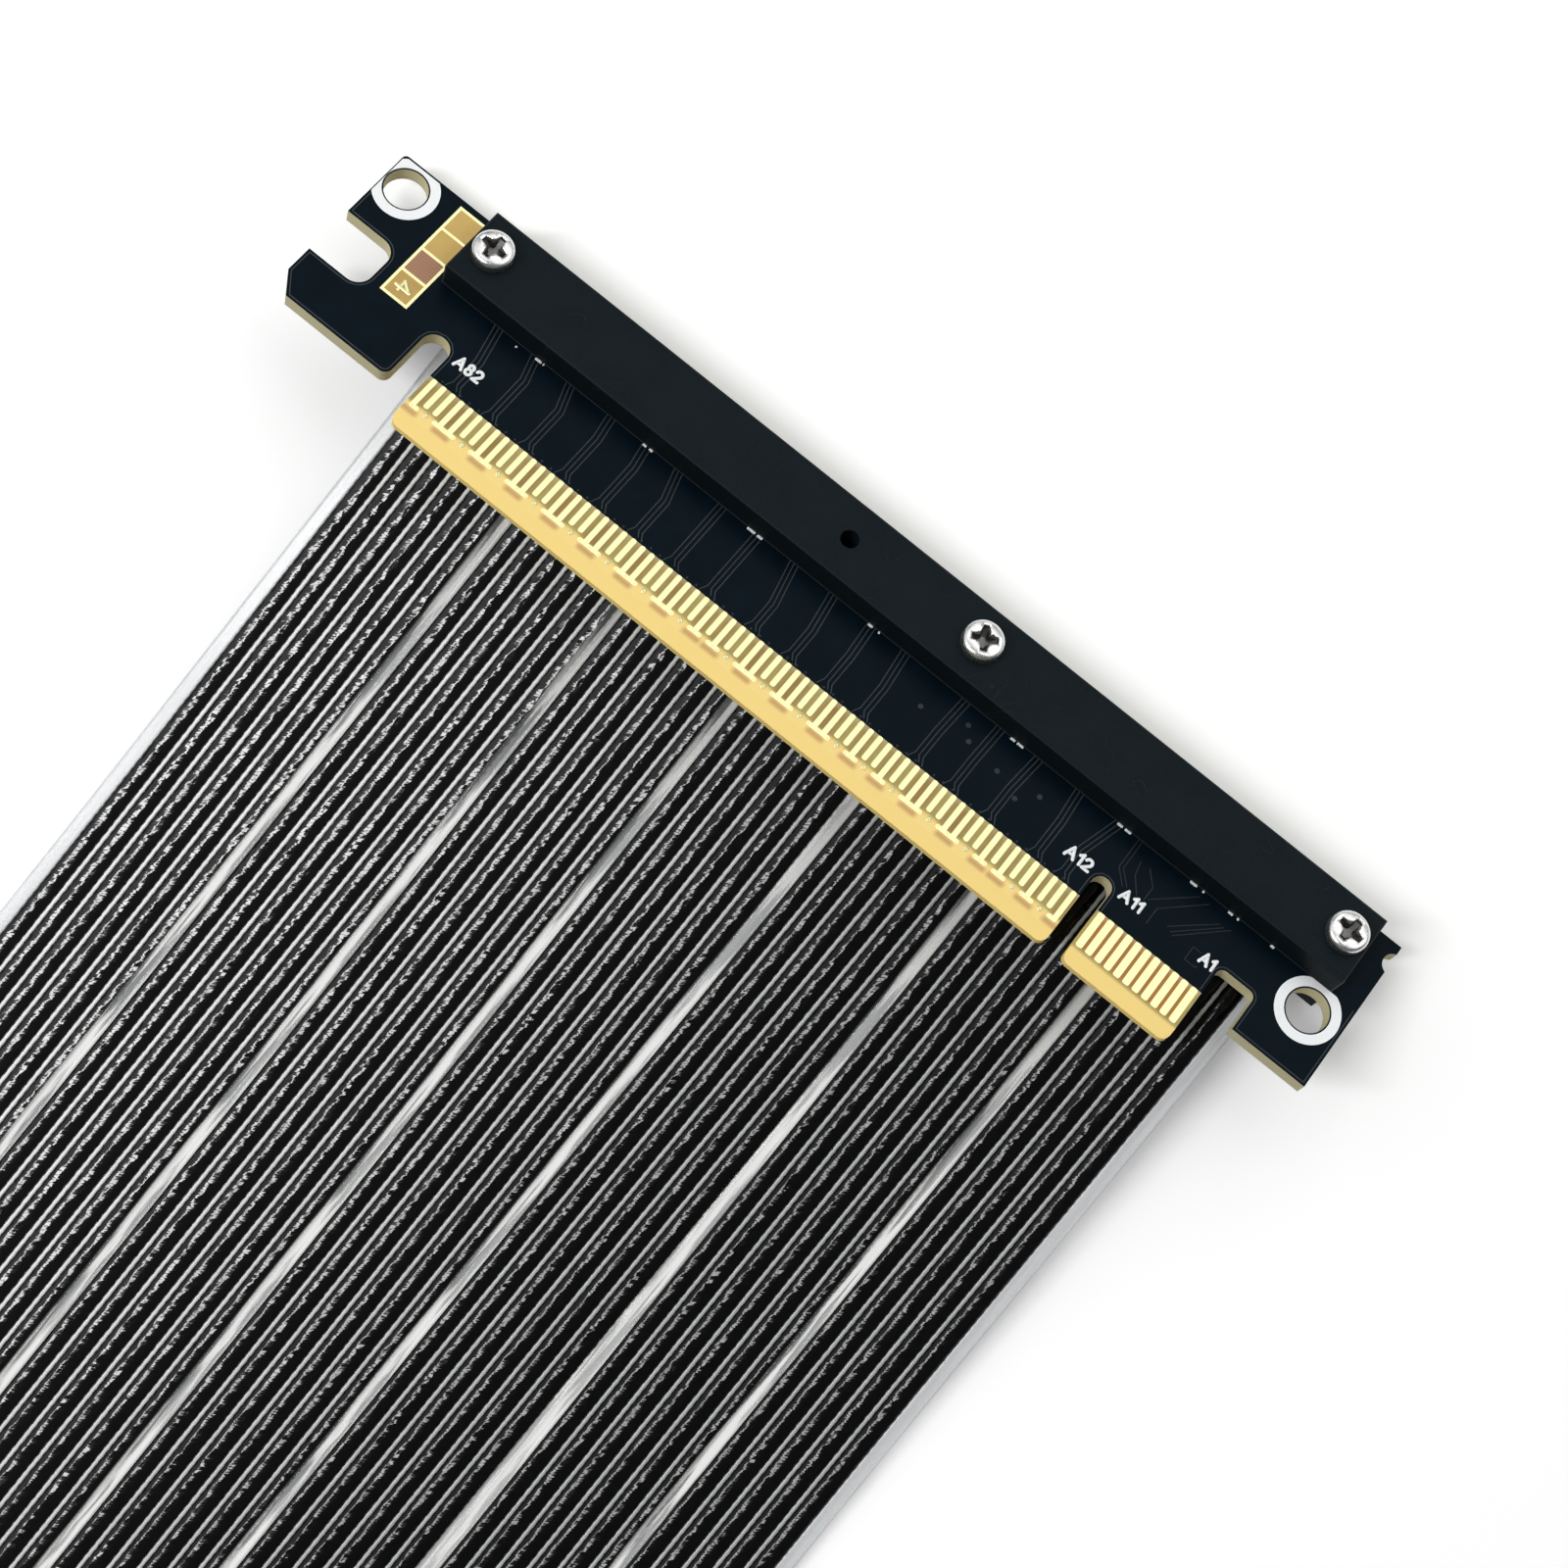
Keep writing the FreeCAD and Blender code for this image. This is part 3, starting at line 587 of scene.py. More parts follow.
drawn_lines, lines_in, lines_out = socketed(
    "drawn_lines", "Lines:Geometry Width Height Finish:Material", "Drawn:Geometry")
line = shape(drawn_lines, "MeshToCurve", {"Mesh": lines_in["Lines"]})
flat = shape(drawn_lines, "SetCurveNormal", {"Curve": line}, mode="Z_UP")
section = shape(drawn_lines, "CurvePrimitiveQuadrilateral", {
    "Width": lines_in["Width"], "Height": lines_in["Height"],
})
runs = shape(drawn_lines, "CurveToMesh", {
    "Curve": flat, "Profile Curve": section, "Fill Caps": True,
})
ends = shape(drawn_lines, "MeshToPoints", {"Mesh": lines_in["Lines"]}, mode="VERTICES")
joints = shape(drawn_lines, "MergeByDistance", {"Geometry": ends, "Distance": 0.01 * MM})
disc = shape(drawn_lines, "MeshCylinder", {
    "Vertices": 12, "Radius": calc(drawn_lines, "MULTIPLY", lines_in["Width"], 0.5),
    "Depth": calc(drawn_lines, "MULTIPLY", lines_in["Height"], JOINT_HEIGHT),
}, fill_type="NGON")
rounds = shape(drawn_lines, "InstanceOnPoints", {"Points": joints, "Instance": disc})
both = merged(drawn_lines, runs, rounds)
finished(drawn_lines, both, lines_in["Finish"], lines_out["Drawn"])


def drawn(lines, width, height, finish, base=0.0):
    """Raised lines with round ends and corners, run by run, on a face at a height."""
    source = bpy.data.meshes.new("lines")
    places = []
    runs = [run for points in lines for run in zip(points, points[1:])]
    for i, run in enumerate(runs):
        level = base + height / 2 - i % STROKE_LEVELS * STROKE_STEP
        places += [Vector((x, v, level)) * MM for x, v in run]
    edges = [(i, i + 1) for i in range(0, len(places), 2)]
    source.from_pydata(places, edges, [])
    return grown(source, drawn_lines, Width=width * MM, Height=height * MM, Finish=finish)


def arc(x, v, radius, start, end, steps=6):
    """Points of an arc in the board's face, from one angle to another in degrees."""
    turns = [math.radians(start + (end - start) * i / steps) for i in range(steps + 1)]
    return [(x + radius * math.cos(turn), v + radius * math.sin(turn)) for turn in turns]


GLYPHS = {
    "1": (0.28, [[(0, 0.76), (0.28, 1), (0.28, 0)]]),
    "2": (0.6, [arc(0.3, 0.7, 0.3, 165, -35) + [(0, 0), (0.6, 0)]]),
    "4": (0.7, [[(0.5, 0), (0.5, 1), (0, 0.32), (0.7, 0.32)]]),
    "8": (0.6, [arc(0.3, 0.77, 0.23, 0, 360, 12), arc(0.3, 0.28, 0.28, 0, 360, 12)]),
    "A": (0.84, [[(0, 0), (0.42, 1), (0.84, 0)], [(0.16, 0.34), (0.68, 0.34)]]),
    "B": (0.57, [[(0, 0), (0, 1), (0.3, 1)] + arc(0.3, 0.765, 0.235, 90, -90) + [(0, 0.53)],
                 [(0.3, 0.53)] + arc(0.3, 0.265, 0.265, 90, -90) + [(0, 0)]]),
}


def worded(text, left, right, low, high, pen):
    """Stroke lines of a word, with their ink inside a box on the board."""
    lines = []
    start = 0.0
    for letter in text:
        width, strokes = GLYPHS[letter]
        lines += [[(start + x, v) for x, v in stroke] for stroke in strokes]
        start += width + LETTER_GAP
    across = (right - left - pen) / (start - LETTER_GAP)
    up = high - low - pen
    return [
        [(left + pen / 2 + x * across, low + pen / 2 + v * up) for x, v in line] for line in lines
    ]


window_rects = []
for i in range(4):
    low = WINDOW_LOW + i * WINDOW_PITCH
    window_rects.append((WINDOW_LEFT, WINDOW_LEFT + WINDOW_SIDE, low, low + WINDOW_SIDE))
window_fill = pad_kind(window_rects, WINDOW_CORNER, WINDOW_FILL, layers)
fixed("layer_windows", [window_fill], PLUG, "board")
digit_left = WINDOW_LEFT + (WINDOW_SIDE - DIGIT_HEIGHT) / 2
digit_top = WINDOW_LOW + (WINDOW_SIDE + DIGIT_WIDTH) / 2
digit_lines = [
    [(digit_left + v, digit_top - x) for x, v in line]
    for line in worded("4", 0, DIGIT_WIDTH, 0, DIGIT_HEIGHT, STROKE)
]
digit = drawn(digit_lines, STROKE, FOIL, gold, WINDOW_FILL)
fixed("layer_number", [digit], PLUG, "gold")


# Traces: copper lines and the edge of the copper plane, covered by the mask and seen as low
# ridges in it. Each lane pair runs up from its fingers with a guard line beside it. The ridges
# are coloured lighter than the mask, a painted sheen for light caught on their raised edges.
TRACE_WIDTH = 0.1
TRACE_HEIGHT = 0.02
TRACE_TOP = 13.15
TRACE_GAP = 0.42
LANE_RISE = 6.42
LANE_FEET = ((-1, -0.75, 5.7), (0, 0.35, 5.85), (1, 0.8, 5.7))
MASK_VIA_SIDE = 0.5
NECK_SIDE = 0.2
NECK_V = 5.78
LANE_GROUPS = (
    (-69.9, 9.4, -70.56, 12.4), (-65.9, 10.7, -66.46, 12.6), (-61.85, 10.5, -62.44, 12.25),
    (-57.8, 10.7, -58.1, 12.6), (-53.8, 10.7, -54.1, 12.5), (-49.8, 10.1, -50.2, 11.5),
    (-45.8, 10.0, -45.8, 12.4), (-41.8, 10.0, -41.8, 12.4), (-36.9, 8.9, -37.5, 11.6),
    (-32.9, 9.2, -33.35, 12.15), (-29.0, 9.65, -29.2, 12.15), (-25.06, 9.2, -25.4, 12.15),
    (-19.06, 9.2, -18.9, 12.15), (-15.2, 9.2, -15.1, 12.15), (-11.2, 9.2, -10.96, 12.15),
    (-6.1, 9.9, -6.3, 12.15), (-3.2, 9.0, -2.4, 11.9),
)
POWER_LINES = (
    ((0.13, 13.1), (0.17, 9.96), (1.4, 8.7)),
    ((0.51, 13.1), (0.55, 10.1), (1.75, 8.9)),
    ((1.4, 11.6), (1.7, 10.3), (2.8, 8.9)),
    ((2.4, 11.6), (3.55, 10.4), (3.55, 9.0)),
    ((7.2, 12.5), (3.9, 9.3)),
    ((8.25, 12.5), (4.9, 9.1), (4.9, 7.4)),
    ((9.9, 11.6), (6.5, 8.4)),
    ((10.4, 11.6), (7.0, 8.2)),
    ((11.0, 11.8), (7.3, 8.0)),
    ((9.3, 7.0), (10.5, 7.0), (10.5, 7.2)),
    ((9.3, 7.0), (9.3, 8.4), (10.1, 8.4)),
)
MASK_VIAS = (
    (-16.5, 10.3), (-17.4, 11.5), (-13.04, 9.8), (-10.4, 8.8), (-8.8, 10.4), (-21.6, 10.07),
)


def lane_lines():
    """Three lines to a group: two of a lane pair, splayed at the fingers, and their guard."""
    lines = []
    for x, lean, end_x, end_v in LANE_GROUPS:
        slope = (end_x - x) / (end_v - lean)
        for side, foot_x, foot_v in LANE_FEET:
            run = x + side * TRACE_GAP
            lines.append((
                (x + foot_x, foot_v), (run, LANE_RISE), (run, lean),
                (run + slope * (TRACE_TOP - lean), TRACE_TOP)))
    return lines


def plane_edges():
    """Edge of the copper plane, a little inside the board's outline."""
    hook = [(-87.23, 16.4), (-87.23, 13.19)]
    hook += arc(-83.4, 11.37, 1.82, 90, 0)
    hook += arc(-83.4, 9.33, 1.82, 0, -90)
    hook += [(-87.23, 7.51), (-87.23, 5.08), (-85.83, 3.17)]
    hook += arc(-75.75, 3.75, 0.58, -90, 0)
    hook += arc(-73.525, 7.75, 1.645, 180, 0)
    hook += [(-71.88, 5.7)]
    foot = [(11.88, 5.7)]
    foot += arc(12.85, 7.84, 0.97, 180, 90)
    foot += arc(15.3, 7.84, 0.97, 90, 0)
    foot += [(16.27, 4.94), (23.48, 4.94), (23.48, 13.1)]
    key = [(-1.245, 5.7)]
    key += arc(0, 7.37, 1.245, 180, 0)
    key += [(1.245, 5.7)]
    return [hook, foot, key]


# Painted sheen: these ridges and dots are lighter than the bare mask, for light caught on their
# raised edges.
ridge = mottled(
    "mask_over_copper_painted_sheen", 5.0, 0.5, (0.026, 0.033, 0.037, 1), (0.055, 0.065, 0.069, 1),
    Roughness=0.4, Specular_IOR_Level=0.2)
faint = mottled(
    "mask_over_vias_painted_sheen", 5.0, 0.5, (0.012, 0.016, 0.019, 1), (0.03, 0.036, 0.04, 1),
    Roughness=0.4, Specular_IOR_Level=0.2)

pad_necks = [
    (pin_x(pin) - HALF_PITCH, NECK_V) for pin in range(FIRST_PINS + 1, PIN_COUNT) if pin % 4
]
trace_meshes = [
    drawn(lane_lines(), TRACE_WIDTH, TRACE_HEIGHT, ridge),
    drawn(POWER_LINES, TRACE_WIDTH, TRACE_HEIGHT, faint),
    drawn(plane_edges(), TRACE_WIDTH, TRACE_HEIGHT, ridge),
    dots(MASK_VIAS, MASK_VIA_SIDE, 0, TRACE_HEIGHT, faint),
    dots(pad_necks, NECK_SIDE, 0, TRACE_HEIGHT, faint),
]
fixed("mask_ridges", trace_meshes, PLUG, "board")


# Printed marks: white epoxy ink, screened onto the mask. Pin numbers stand at the ends of the
# finger rows, rings surround the holes, and the feet of small numbers show below the bar.
INK = 0.035
RING_INNER = 2.14
RING_OUTER = 3.05
RING_TURNS = 72
LABELS = (
    ("A82", -71.56, -68.64, 7.57, 8.92), ("A12", -4.36, -1.57, 7.55, 8.9),
    ("A11", 1.56, 3.96, 7.55, 8.82), ("A1", 10.2, 11.8, 7.55, 8.85),
)
HOLES = ((-85.23, 18.1, 2.15, 2.5), (20.28, 10.46, RING_OUTER, 2.72))
NUMBER_FEET = (
    (-66.6, -65.9), (-65.75, -65.6), (-54.6, -54.2), (-53.9, -53.5), (-43.0, -42.1), (-41.9, -41.3),
    (-29.6, -29.1), (-28.5, -28.3), (-13.9, -13.4), (-13.2, -12.5), (-2.2, -1.6), (-1.4, -0.7),
    (5.75, 6.5), (7.1, 7.3), (9.9, 10.4), (10.85, 11.05), (14.5, 14.9),
)
FEET_LOW = 12.96
FEET_HIGH = 13.19
FEET_CORNER = 0.08
PRINTED_DOT = (-68.5, 12.78)
PRINTED_DOT_SIDE = 0.2

ink = mottled(
    "white_ink", 6.0, 0.8, (0.86, 0.89, 0.9, 1), (0.98, 1.0, 1.0, 1), by="Fine", bump=0.006,
    Roughness=0.6, Specular_IOR_Level=0.2)


def skinned(name, loops, closed=False):
    """Mesh over loops of points in millimetres, capped at both ends or closed on itself."""
    skin = bmesh.new()
    rows = [[skin.verts.new(Vector(point) * MM) for point in loop] for loop in loops]
    for low, high in zip(rows, rows[1:] + rows[:closed]):
        for i in range(max(len(low), len(high))):
            corners = [low[i % len(low)], low[(i + 1) % len(low)]]
            corners += [high[(i + 1) % len(high)], high[i % len(high)]]
            skin.faces.new(list(dict.fromkeys(corners)))
    for row in () if closed else (rows[0], rows[-1]):
        if len(row) > 1:
            skin.faces.new(row)
    bmesh.ops.recalc_face_normals(skin, faces=skin.faces)
    made = bpy.data.meshes.new(name)
    skin.to_mesh(made)
    skin.free()
    return made


def printed_ring(x, v, left, back):
    """Flat ring round a hole, cut short at a distance to its left and towards the back."""
    rows = []
    for i in range(RING_TURNS):
        turn = 2 * math.pi * i / RING_TURNS
        way = Vector((math.cos(turn), math.sin(turn), 0))
        reach = RING_OUTER
        if way.x < 0:
            reach = min(reach, -left / way.x)
        if way.y > 0:
            reach = min(reach, back / way.y)
        section = ((RING_INNER, 0), (RING_INNER, INK), (reach, INK), (reach, 0))
        rows.append([Vector((x, v, z)) + way * radius for radius, z in section])
    made = skinned("printed_ring", rows, closed=True)
    made.materials.append(ink)
    return made


marks = [printed_ring(*hole) for hole in HOLES]
marks += [drawn(worded(*label, STROKE), STROKE, INK, ink) for label in LABELS]
for left, right in NUMBER_FEET:
    marks.append(pad_kind([(left, right, FEET_LOW, FEET_HIGH)], FEET_CORNER, INK, ink))
marks.append(dots([PRINTED_DOT], PRINTED_DOT_SIDE, 0, INK, ink))
fixed("printed_marks", marks, PLUG, "board")


# Ribbons: seven flat runs of shielded wire pairs from clamp to clamp. Every pair is wrapped
# in black tape, whose turns stand out as slanting ridges. Milky webs hold the pairs of a
# ribbon side by side, and thin film reaches past the outer pairs and laps the next ribbon.
RIBBON_ROUTE = (
    (103.708, 4.387), (100.026, 5.950), (92.045, 5.45), (76.100, 4.17), (44.246, 1.25),
    (-13.767, 0.62), (-57.359, 0.71), (-78.264, 1.59), (-89.260, 2.55), (-94.760, 2.55),
)
RIBBON_DRIFT = (0, 0, 0, 0.3, 1, 1.4, 0.8, 0.2, 0, 0)
RIBBONS = (
    (-34.537, 6, -0.18), (-21.440, 6, -0.6), (-8.944, 6, -0.14), (3.903, 6, 0.02),
    (17.449, 6, -0.6), (30.496, 6, 0.08), (42.389, 5, -0.2),
)
PAIR_PITCH = 2.1053
PAIR_WIDTH = 1.81
PAIR_HEIGHT = 0.9
WRAP_PITCH = 0.88
WRAP_STARTS = -3.0
WRAP_DEPTH = 0.04
WRAP_STEP = 0.22
WRAP_STAGGER = 0.37
WRAP_WANDER = 1.2
WRAP_BEAT = 0.5
WRAP_UNEVEN = 1.4
SLOW_NOISE = 420.0
QUICK_NOISE = 1500.0
WEB_THICKNESS = 0.08
WEB_GRIP = 0.1
FILM_STEP = 0.8
FILM_CUTS = 4
# Span in X over which less light falls: painted shade on the webs and weaker tape highlights
# towards +X.
LIT_SIDE_X = -38.0
SHADED_SIDE_X = 30.0
FILM_FREE = 16.0
FILM_FLAT = 40.0
OUTER_FILM = 1.25
LAPPING_FILM = 1.15
LAPPING_DROP = -0.3
LAPPING_RISE = 0.14
LOWER_FILM = 0.75
LOWER_FILM_DROP = 0.12

pairs, pairs_in, pairs_out = socketed(
    "wire_pairs",
    "Route:Geometry Pairs:Int Pitch Width Height Step Wrap Starts Depth Finish:Material",
    "Ribbon:Geometry")


def kept(tree, geometry, name, value, kind="FLOAT", domain="POINT"):
    """Geometry with a value kept on it under a name."""
    return shape(tree, "StoreNamedAttribute", {
        "Geometry": geometry, "Name": name, "Value": value,
    }, data_type=kind, domain=domain)


def named(tree, name, kind="FLOAT"):
    return shape(tree, "InputNamedAttribute", {"Name": name}, data_type=kind)


def vector(tree, **axes):
    return add(tree, "CombineXYZ", axes)


def position(tree):
    return shape(tree, "InputPosition", {})


def swept(tree, route, step, profile):
    """Profile drawn along the route, with its place along and across kept as a UV map."""
    line = shape(tree, "MeshToCurve", {"Mesh": route})
    even = shape(tree, "ResampleCurve", {"Curve": line, "Length": step}, mode="LENGTH")
    level = shape(tree, "SetCurveNormal", {"Curve": even}, mode="Z_UP")
    station = shape(tree, "SplineParameter", {})
    along = kept(tree, level, "along", station.outputs["Length"])
    across = kept(tree, profile, "across", axes_of(tree, position(tree))["X"])
    around = kept(tree, across, "around", shape(tree, "SplineParameter", {}))
    skin = shape(tree, "CurveToMesh", {
        "Curve": along, "Profile Curve": around, "Fill Caps": True,
    })
    spot = vector(tree, X=named(tree, "across"), Y=named(tree, "along"))
    return kept(tree, skin, "UVMap", spot, "FLOAT2", "CORNER")


def row_across(tree, count, pitch):
    """Points across the ribbon, a pitch apart, as a mesh line about its middle."""
    start = calc(tree, "MULTIPLY", calc(tree, "SUBTRACT", count, 1.0), -0.5)
    begin = vector(tree, X=calc(tree, "MULTIPLY", start, pitch))
    return shape(tree, "MeshLine", {
        "Count": count, "Start Location": begin, "Offset": vector(tree, X=pitch),
    }, mode="OFFSET")


ring = shape(pairs, "CurvePrimitiveCircle", {"Resolution": 14, "Radius": 1.0}, mode="RADIUS")
seam_down = shape(pairs, "Transform", {"Geometry": ring, "Rotation": (0, 0, math.pi / 2)})
half_width = calc(pairs, "MULTIPLY", pairs_in["Width"], 0.5)
half_height = calc(pairs, "MULTIPLY", pairs_in["Height"], 0.5)
ovals = shape(pairs, "InstanceOnPoints", {
    "Points": row_across(pairs, pairs_in["Pairs"], pairs_in["Pitch"]),
    "Instance": seam_down, "Scale": vector(pairs, X=half_width, Y=half_height, Z=1.0),
})
index = shape(pairs, "InputIndex", {})
numbered = kept(pairs, ovals, "pair", index, domain="INSTANCE")
profile = shape(pairs, "RealizeInstances", {"Geometry": numbered})
tubes = swept(pairs, pairs_in["Route"], pairs_in["Step"], profile)
slow, quick = [
    add(pairs, "TexNoise", {"Vector": position(pairs), "Scale": scale, "Detail": 1.0})
    for scale in (SLOW_NOISE, QUICK_NOISE)
]
turns = calc(pairs, "DIVIDE", named(pairs, "along"), pairs_in["Wrap"])
turns = calc(pairs, "MULTIPLY_ADD", named(pairs, "around"), pairs_in["Starts"], turns)
turns = calc(pairs, "MULTIPLY_ADD", named(pairs, "pair"), WRAP_STAGGER, turns)
turns = calc(pairs, "MULTIPLY_ADD", slow, WRAP_WANDER, turns)
wrapped = kept(pairs, tubes, "wrap", turns)
beat = calc(pairs, "COSINE", calc(pairs, "MULTIPLY", named(pairs, "wrap"), 2 * math.pi))
uneven = calc(pairs, "MULTIPLY", calc(pairs, "SUBTRACT", quick, 0.5), WRAP_UNEVEN)
height = calc(pairs, "MULTIPLY_ADD", beat, WRAP_BEAT, uneven)
lift = add(pairs, "VectorMath", {
    0: shape(pairs, "InputNormal", {}),
    "Scale": calc(pairs, "MULTIPLY", height, pairs_in["Depth"]),
}, operation="SCALE")
crimped = shape(pairs, "SetPosition", {"Geometry": wrapped, "Offset": lift})
soft = shape(pairs, "SetShadeSmooth", {"Geometry": crimped})
finished(pairs, soft, pairs_in["Finish"], pairs_out["Ribbon"])

film, film_in, film_out = socketed(
    "film_strips",
    "Route:Geometry Count:Int Pitch Middle Lower Width Thickness Cuts:Int Rise Step "
    "Finish:Material", "Film:Geometry")
strip = shape(film, "CurvePrimitiveQuadrilateral", {
    "Width": film_in["Width"], "Height": film_in["Thickness"],
})
supple = shape(film, "SubdivideCurve", {"Curve": strip, "Cuts": film_in["Cuts"]})
share = calc(film, "DIVIDE", axes_of(film, position(film))["X"], film_in["Width"])
share = calc(film, "MULTIPLY_ADD", share, calc(film, "SIGN", film_in["Middle"]), 0.5)
measured = kept(film, supple, "outward", share)
climb = calc(film, "MULTIPLY", between(film, named(film, "outward"), 0, 1, 0, -1), film_in["Rise"])
bent = shape(film, "SetPosition", {"Geometry": measured, "Offset": vector(film, Y=climb)})
row = shape(film, "SetPosition", {
    "Geometry": row_across(film, film_in["Count"], film_in["Pitch"]),
    "Offset": vector(film, X=film_in["Middle"], Y=film_in["Lower"]),
})
strips = shape(film, "InstanceOnPoints", {"Points": row, "Instance": bent})
profile = shape(film, "RealizeInstances", {"Geometry": strips})
sheets = swept(film, film_in["Route"], film_in["Step"], profile)
finished(film, sheets, film_in["Finish"], film_out["Film"])


def along_ribbon(tree, across, along):
    """Place on a ribbon from its UV map, in millimetres, scaled across and along."""
    spot = add(tree, "UVMap", {}, uv_map="UVMap")
    return add(tree, "Mapping", {
        "Vector": spot, "Scale": (across / MM, along / MM, 1),
    }, vector_type="POINT")


tape, tree, shader = coating("wrapped_black_tape")
texture = grained(tree, along_ribbon(tree, 1, 0.8), 1.35, 0.4)
# Painted fall-off: the tape's highlights weaken towards +X, standing in for less light reaching
# that side.
sideways = axes_of(tree, place_in_mm(tree))["X"]
paint(
    tree, shader,
    Base_Color=tint(tree, texture["Fine"], (0.001, 0.001, 0.0013, 1), (0.005, 0.005, 0.0055, 1)),
    Roughness=between(tree, texture["Cloud"], 0.3, 0.7, 0.1, 0.17),
    Specular_IOR_Level=between(tree, sideways, LIT_SIDE_X, SHADED_SIDE_X, 0.56, 0.25))
overlap = calc(tree, "PINGPONG", stored(tree, "wrap"), 0.5)
fold = add(tree, "TexNoise", {"Vector": along_ribbon(tree, 1, 0.5), "Scale": 1.6, "Detail": 1.0})
facet = add(tree, "TexVoronoi", {"Vector": along_ribbon(tree, 1, 0.45), "Scale": 2.0})
crumple = calc(tree, "MULTIPLY_ADD", facet, 0.6, calc(tree, "MULTIPLY_ADD", overlap, 0.6, fold))
roughen(tree, shader, crumple, 0.05)

milky, tree, shader = coating("milky_web", Specular_IOR_Level=0.5, Roughness=0.3)
texture = grained(tree, along_ribbon(tree, 1, 0.25), 2.0, 0.3)
cloudy = tint(tree, texture["Cloud"], (0.9, 0.92, 0.9, 1), (1.0, 1.0, 0.98, 1))
sideways = axes_of(tree, place_in_mm(tree))["X"]
# Painted shade: the webs' white greys towards +X, where less light reaches them.
painted_shade_towards_x = between(tree, sideways, LIT_SIDE_X, SHADED_SIDE_X, 0.0, 0.9)
paint(
    tree, shader, Base_Color=tint(tree, painted_shade_towards_x, cloudy, (0.42, 0.44, 0.43, 1)),
    Alpha=between(tree, texture["Fine"], 0.3, 0.7, 0.9, 1.0))

clear, tree, shader = coating("clear_film", Specular_IOR_Level=0.8)
texture = grained(tree, along_ribbon(tree, 1.2, 0.06), 1.4, 0.5)
# Painted reflections: bright streaks along the film, lighter in colour and more opaque, stand in
# for glints of light on it.
painted_glint_streak = between(tree, texture["Fine"], 0.4, 0.56)
along = axes_of(tree, along_ribbon(tree, 1, 1))["Y"]
spread_out = calc(
    tree, "MULTIPLY", between(tree, stored(tree, "outward"), 0.55, 1.0, 1.0, 0.1),
    between(tree, along, FILM_FREE, FILM_FLAT, 0.45, 1.0))
paint(
    tree, shader,
    Base_Color=tint(tree, painted_glint_streak, (0.7, 0.72, 0.71, 1), (1.0, 1.0, 0.98, 1)),
    Roughness=between(tree, texture["Fine"], 0.3, 0.7, 0.1, 0.25),
    Alpha=calc(tree, "MULTIPLY", between(tree, painted_glint_streak, 0, 1, 0.3, 1.0), spread_out))
roughen(tree, shader, texture["Fine"], 0.06)

rim, tree, shader = coating("edge_film", Specular_IOR_Level=0.5, Roughness=0.2)
texture = grained(tree, along_ribbon(tree, 1.2, 0.06), 1.4, 0.5)
# Painted reflections: the edge film is lighter in long streaks along the ribbon, for glints of
# light on it.
paint(
    tree, shader,
    Base_Color=tint(tree, texture["Fine"], (0.64, 0.66, 0.68, 1), (0.82, 0.84, 0.86, 1)),
    Alpha=between(tree, texture["Fine"], 0.35, 0.65, 0.35, 0.6))


def route_line(centre, drift):
    """Points of a ribbon's smooth middle line, as a wire mesh."""
    route = bpy.data.curves.new("route", "CURVE")
    route.dimensions = "3D"
    route.resolution_u = 24
    spline = route.splines.new("NURBS")
    spline.points.add(len(RIBBON_ROUTE) - 1)
    for point, (y, z), share in zip(spline.points, RIBBON_ROUTE, RIBBON_DRIFT):
        point.co = (*(Vector((centre + drift * share, y, z)) * MM), 1)
    spline.order_u = 3
    spline.use_endpoint_u = True
    return evaluated(linked("route", route))


def film_along(line, width, finish, count=1, middle=0.0, lower=0.0, cuts=0, rise=0.0):
    """Strips of film along a ribbon, side by side, with their sizes in millimetres."""
    return grown(
        line, film, Count=count, Pitch=PAIR_PITCH * MM, Middle=middle * MM, Lower=lower * MM,
        Width=width * MM, Thickness=WEB_THICKNESS * MM, Cuts=cuts, Rise=rise * MM,
        Step=FILM_STEP * MM, Finish=finish)


for number, (centre, count, drift) in enumerate(RIBBONS, 1):
    line = route_line(centre, drift)
    black_edge = (count - 1) / 2 * PAIR_PITCH + PAIR_WIDTH / 2
    core = grown(
        line, pairs, Pairs=count, Pitch=PAIR_PITCH * MM, Width=PAIR_WIDTH * MM,
        Height=PAIR_HEIGHT * MM, Step=WRAP_STEP * MM, Wrap=WRAP_PITCH * MM, Starts=WRAP_STARTS,
        Depth=WRAP_DEPTH * MM, Finish=tape)
    webs = film_along(line, PAIR_PITCH - PAIR_WIDTH + 2 * WEB_GRIP, milky, count - 1)
    with_pieces = [piece(f"ribbon_webs_{number}", webs, "ribbon")]
    outer = (OUTER_FILM, 0.0, 0.0, rim)
    left = outer if number == 1 else (LAPPING_FILM, LAPPING_DROP, LAPPING_RISE, clear)
    right = outer if number == len(RIBBONS) else (LOWER_FILM, LOWER_FILM_DROP, 0.0, clear)
    for side, way, (reach, lower, rise, finish) in (("left", 1, left), ("right", -1, right)):
        middle = way * (black_edge + (reach - WEB_GRIP) / 2)
        margin = film_along(line, reach + WEB_GRIP, finish, 1, middle, lower, FILM_CUTS, rise)
        with_pieces.append(piece(f"ribbon_film_{side}_{number}", margin, "ribbon"))
    ribbon = piece(f"ribbon_pairs_{number}", core, "ribbon", f"ribbon_{number}")


# Solder: the stripped ends of every pair, run to their pads inside the clamps. Bright tin
# alloy, frozen in small wedges.
solder = mottled(
    "bright_solder", 6.0, 0.8, (0.6, 0.61, 0.63, 1), (0.78, 0.79, 0.8, 1), rough=(0.25, 0.45),
    Metallic=1.0)
dress(solder, "plug_solder_joints", "socket_solder_joints")


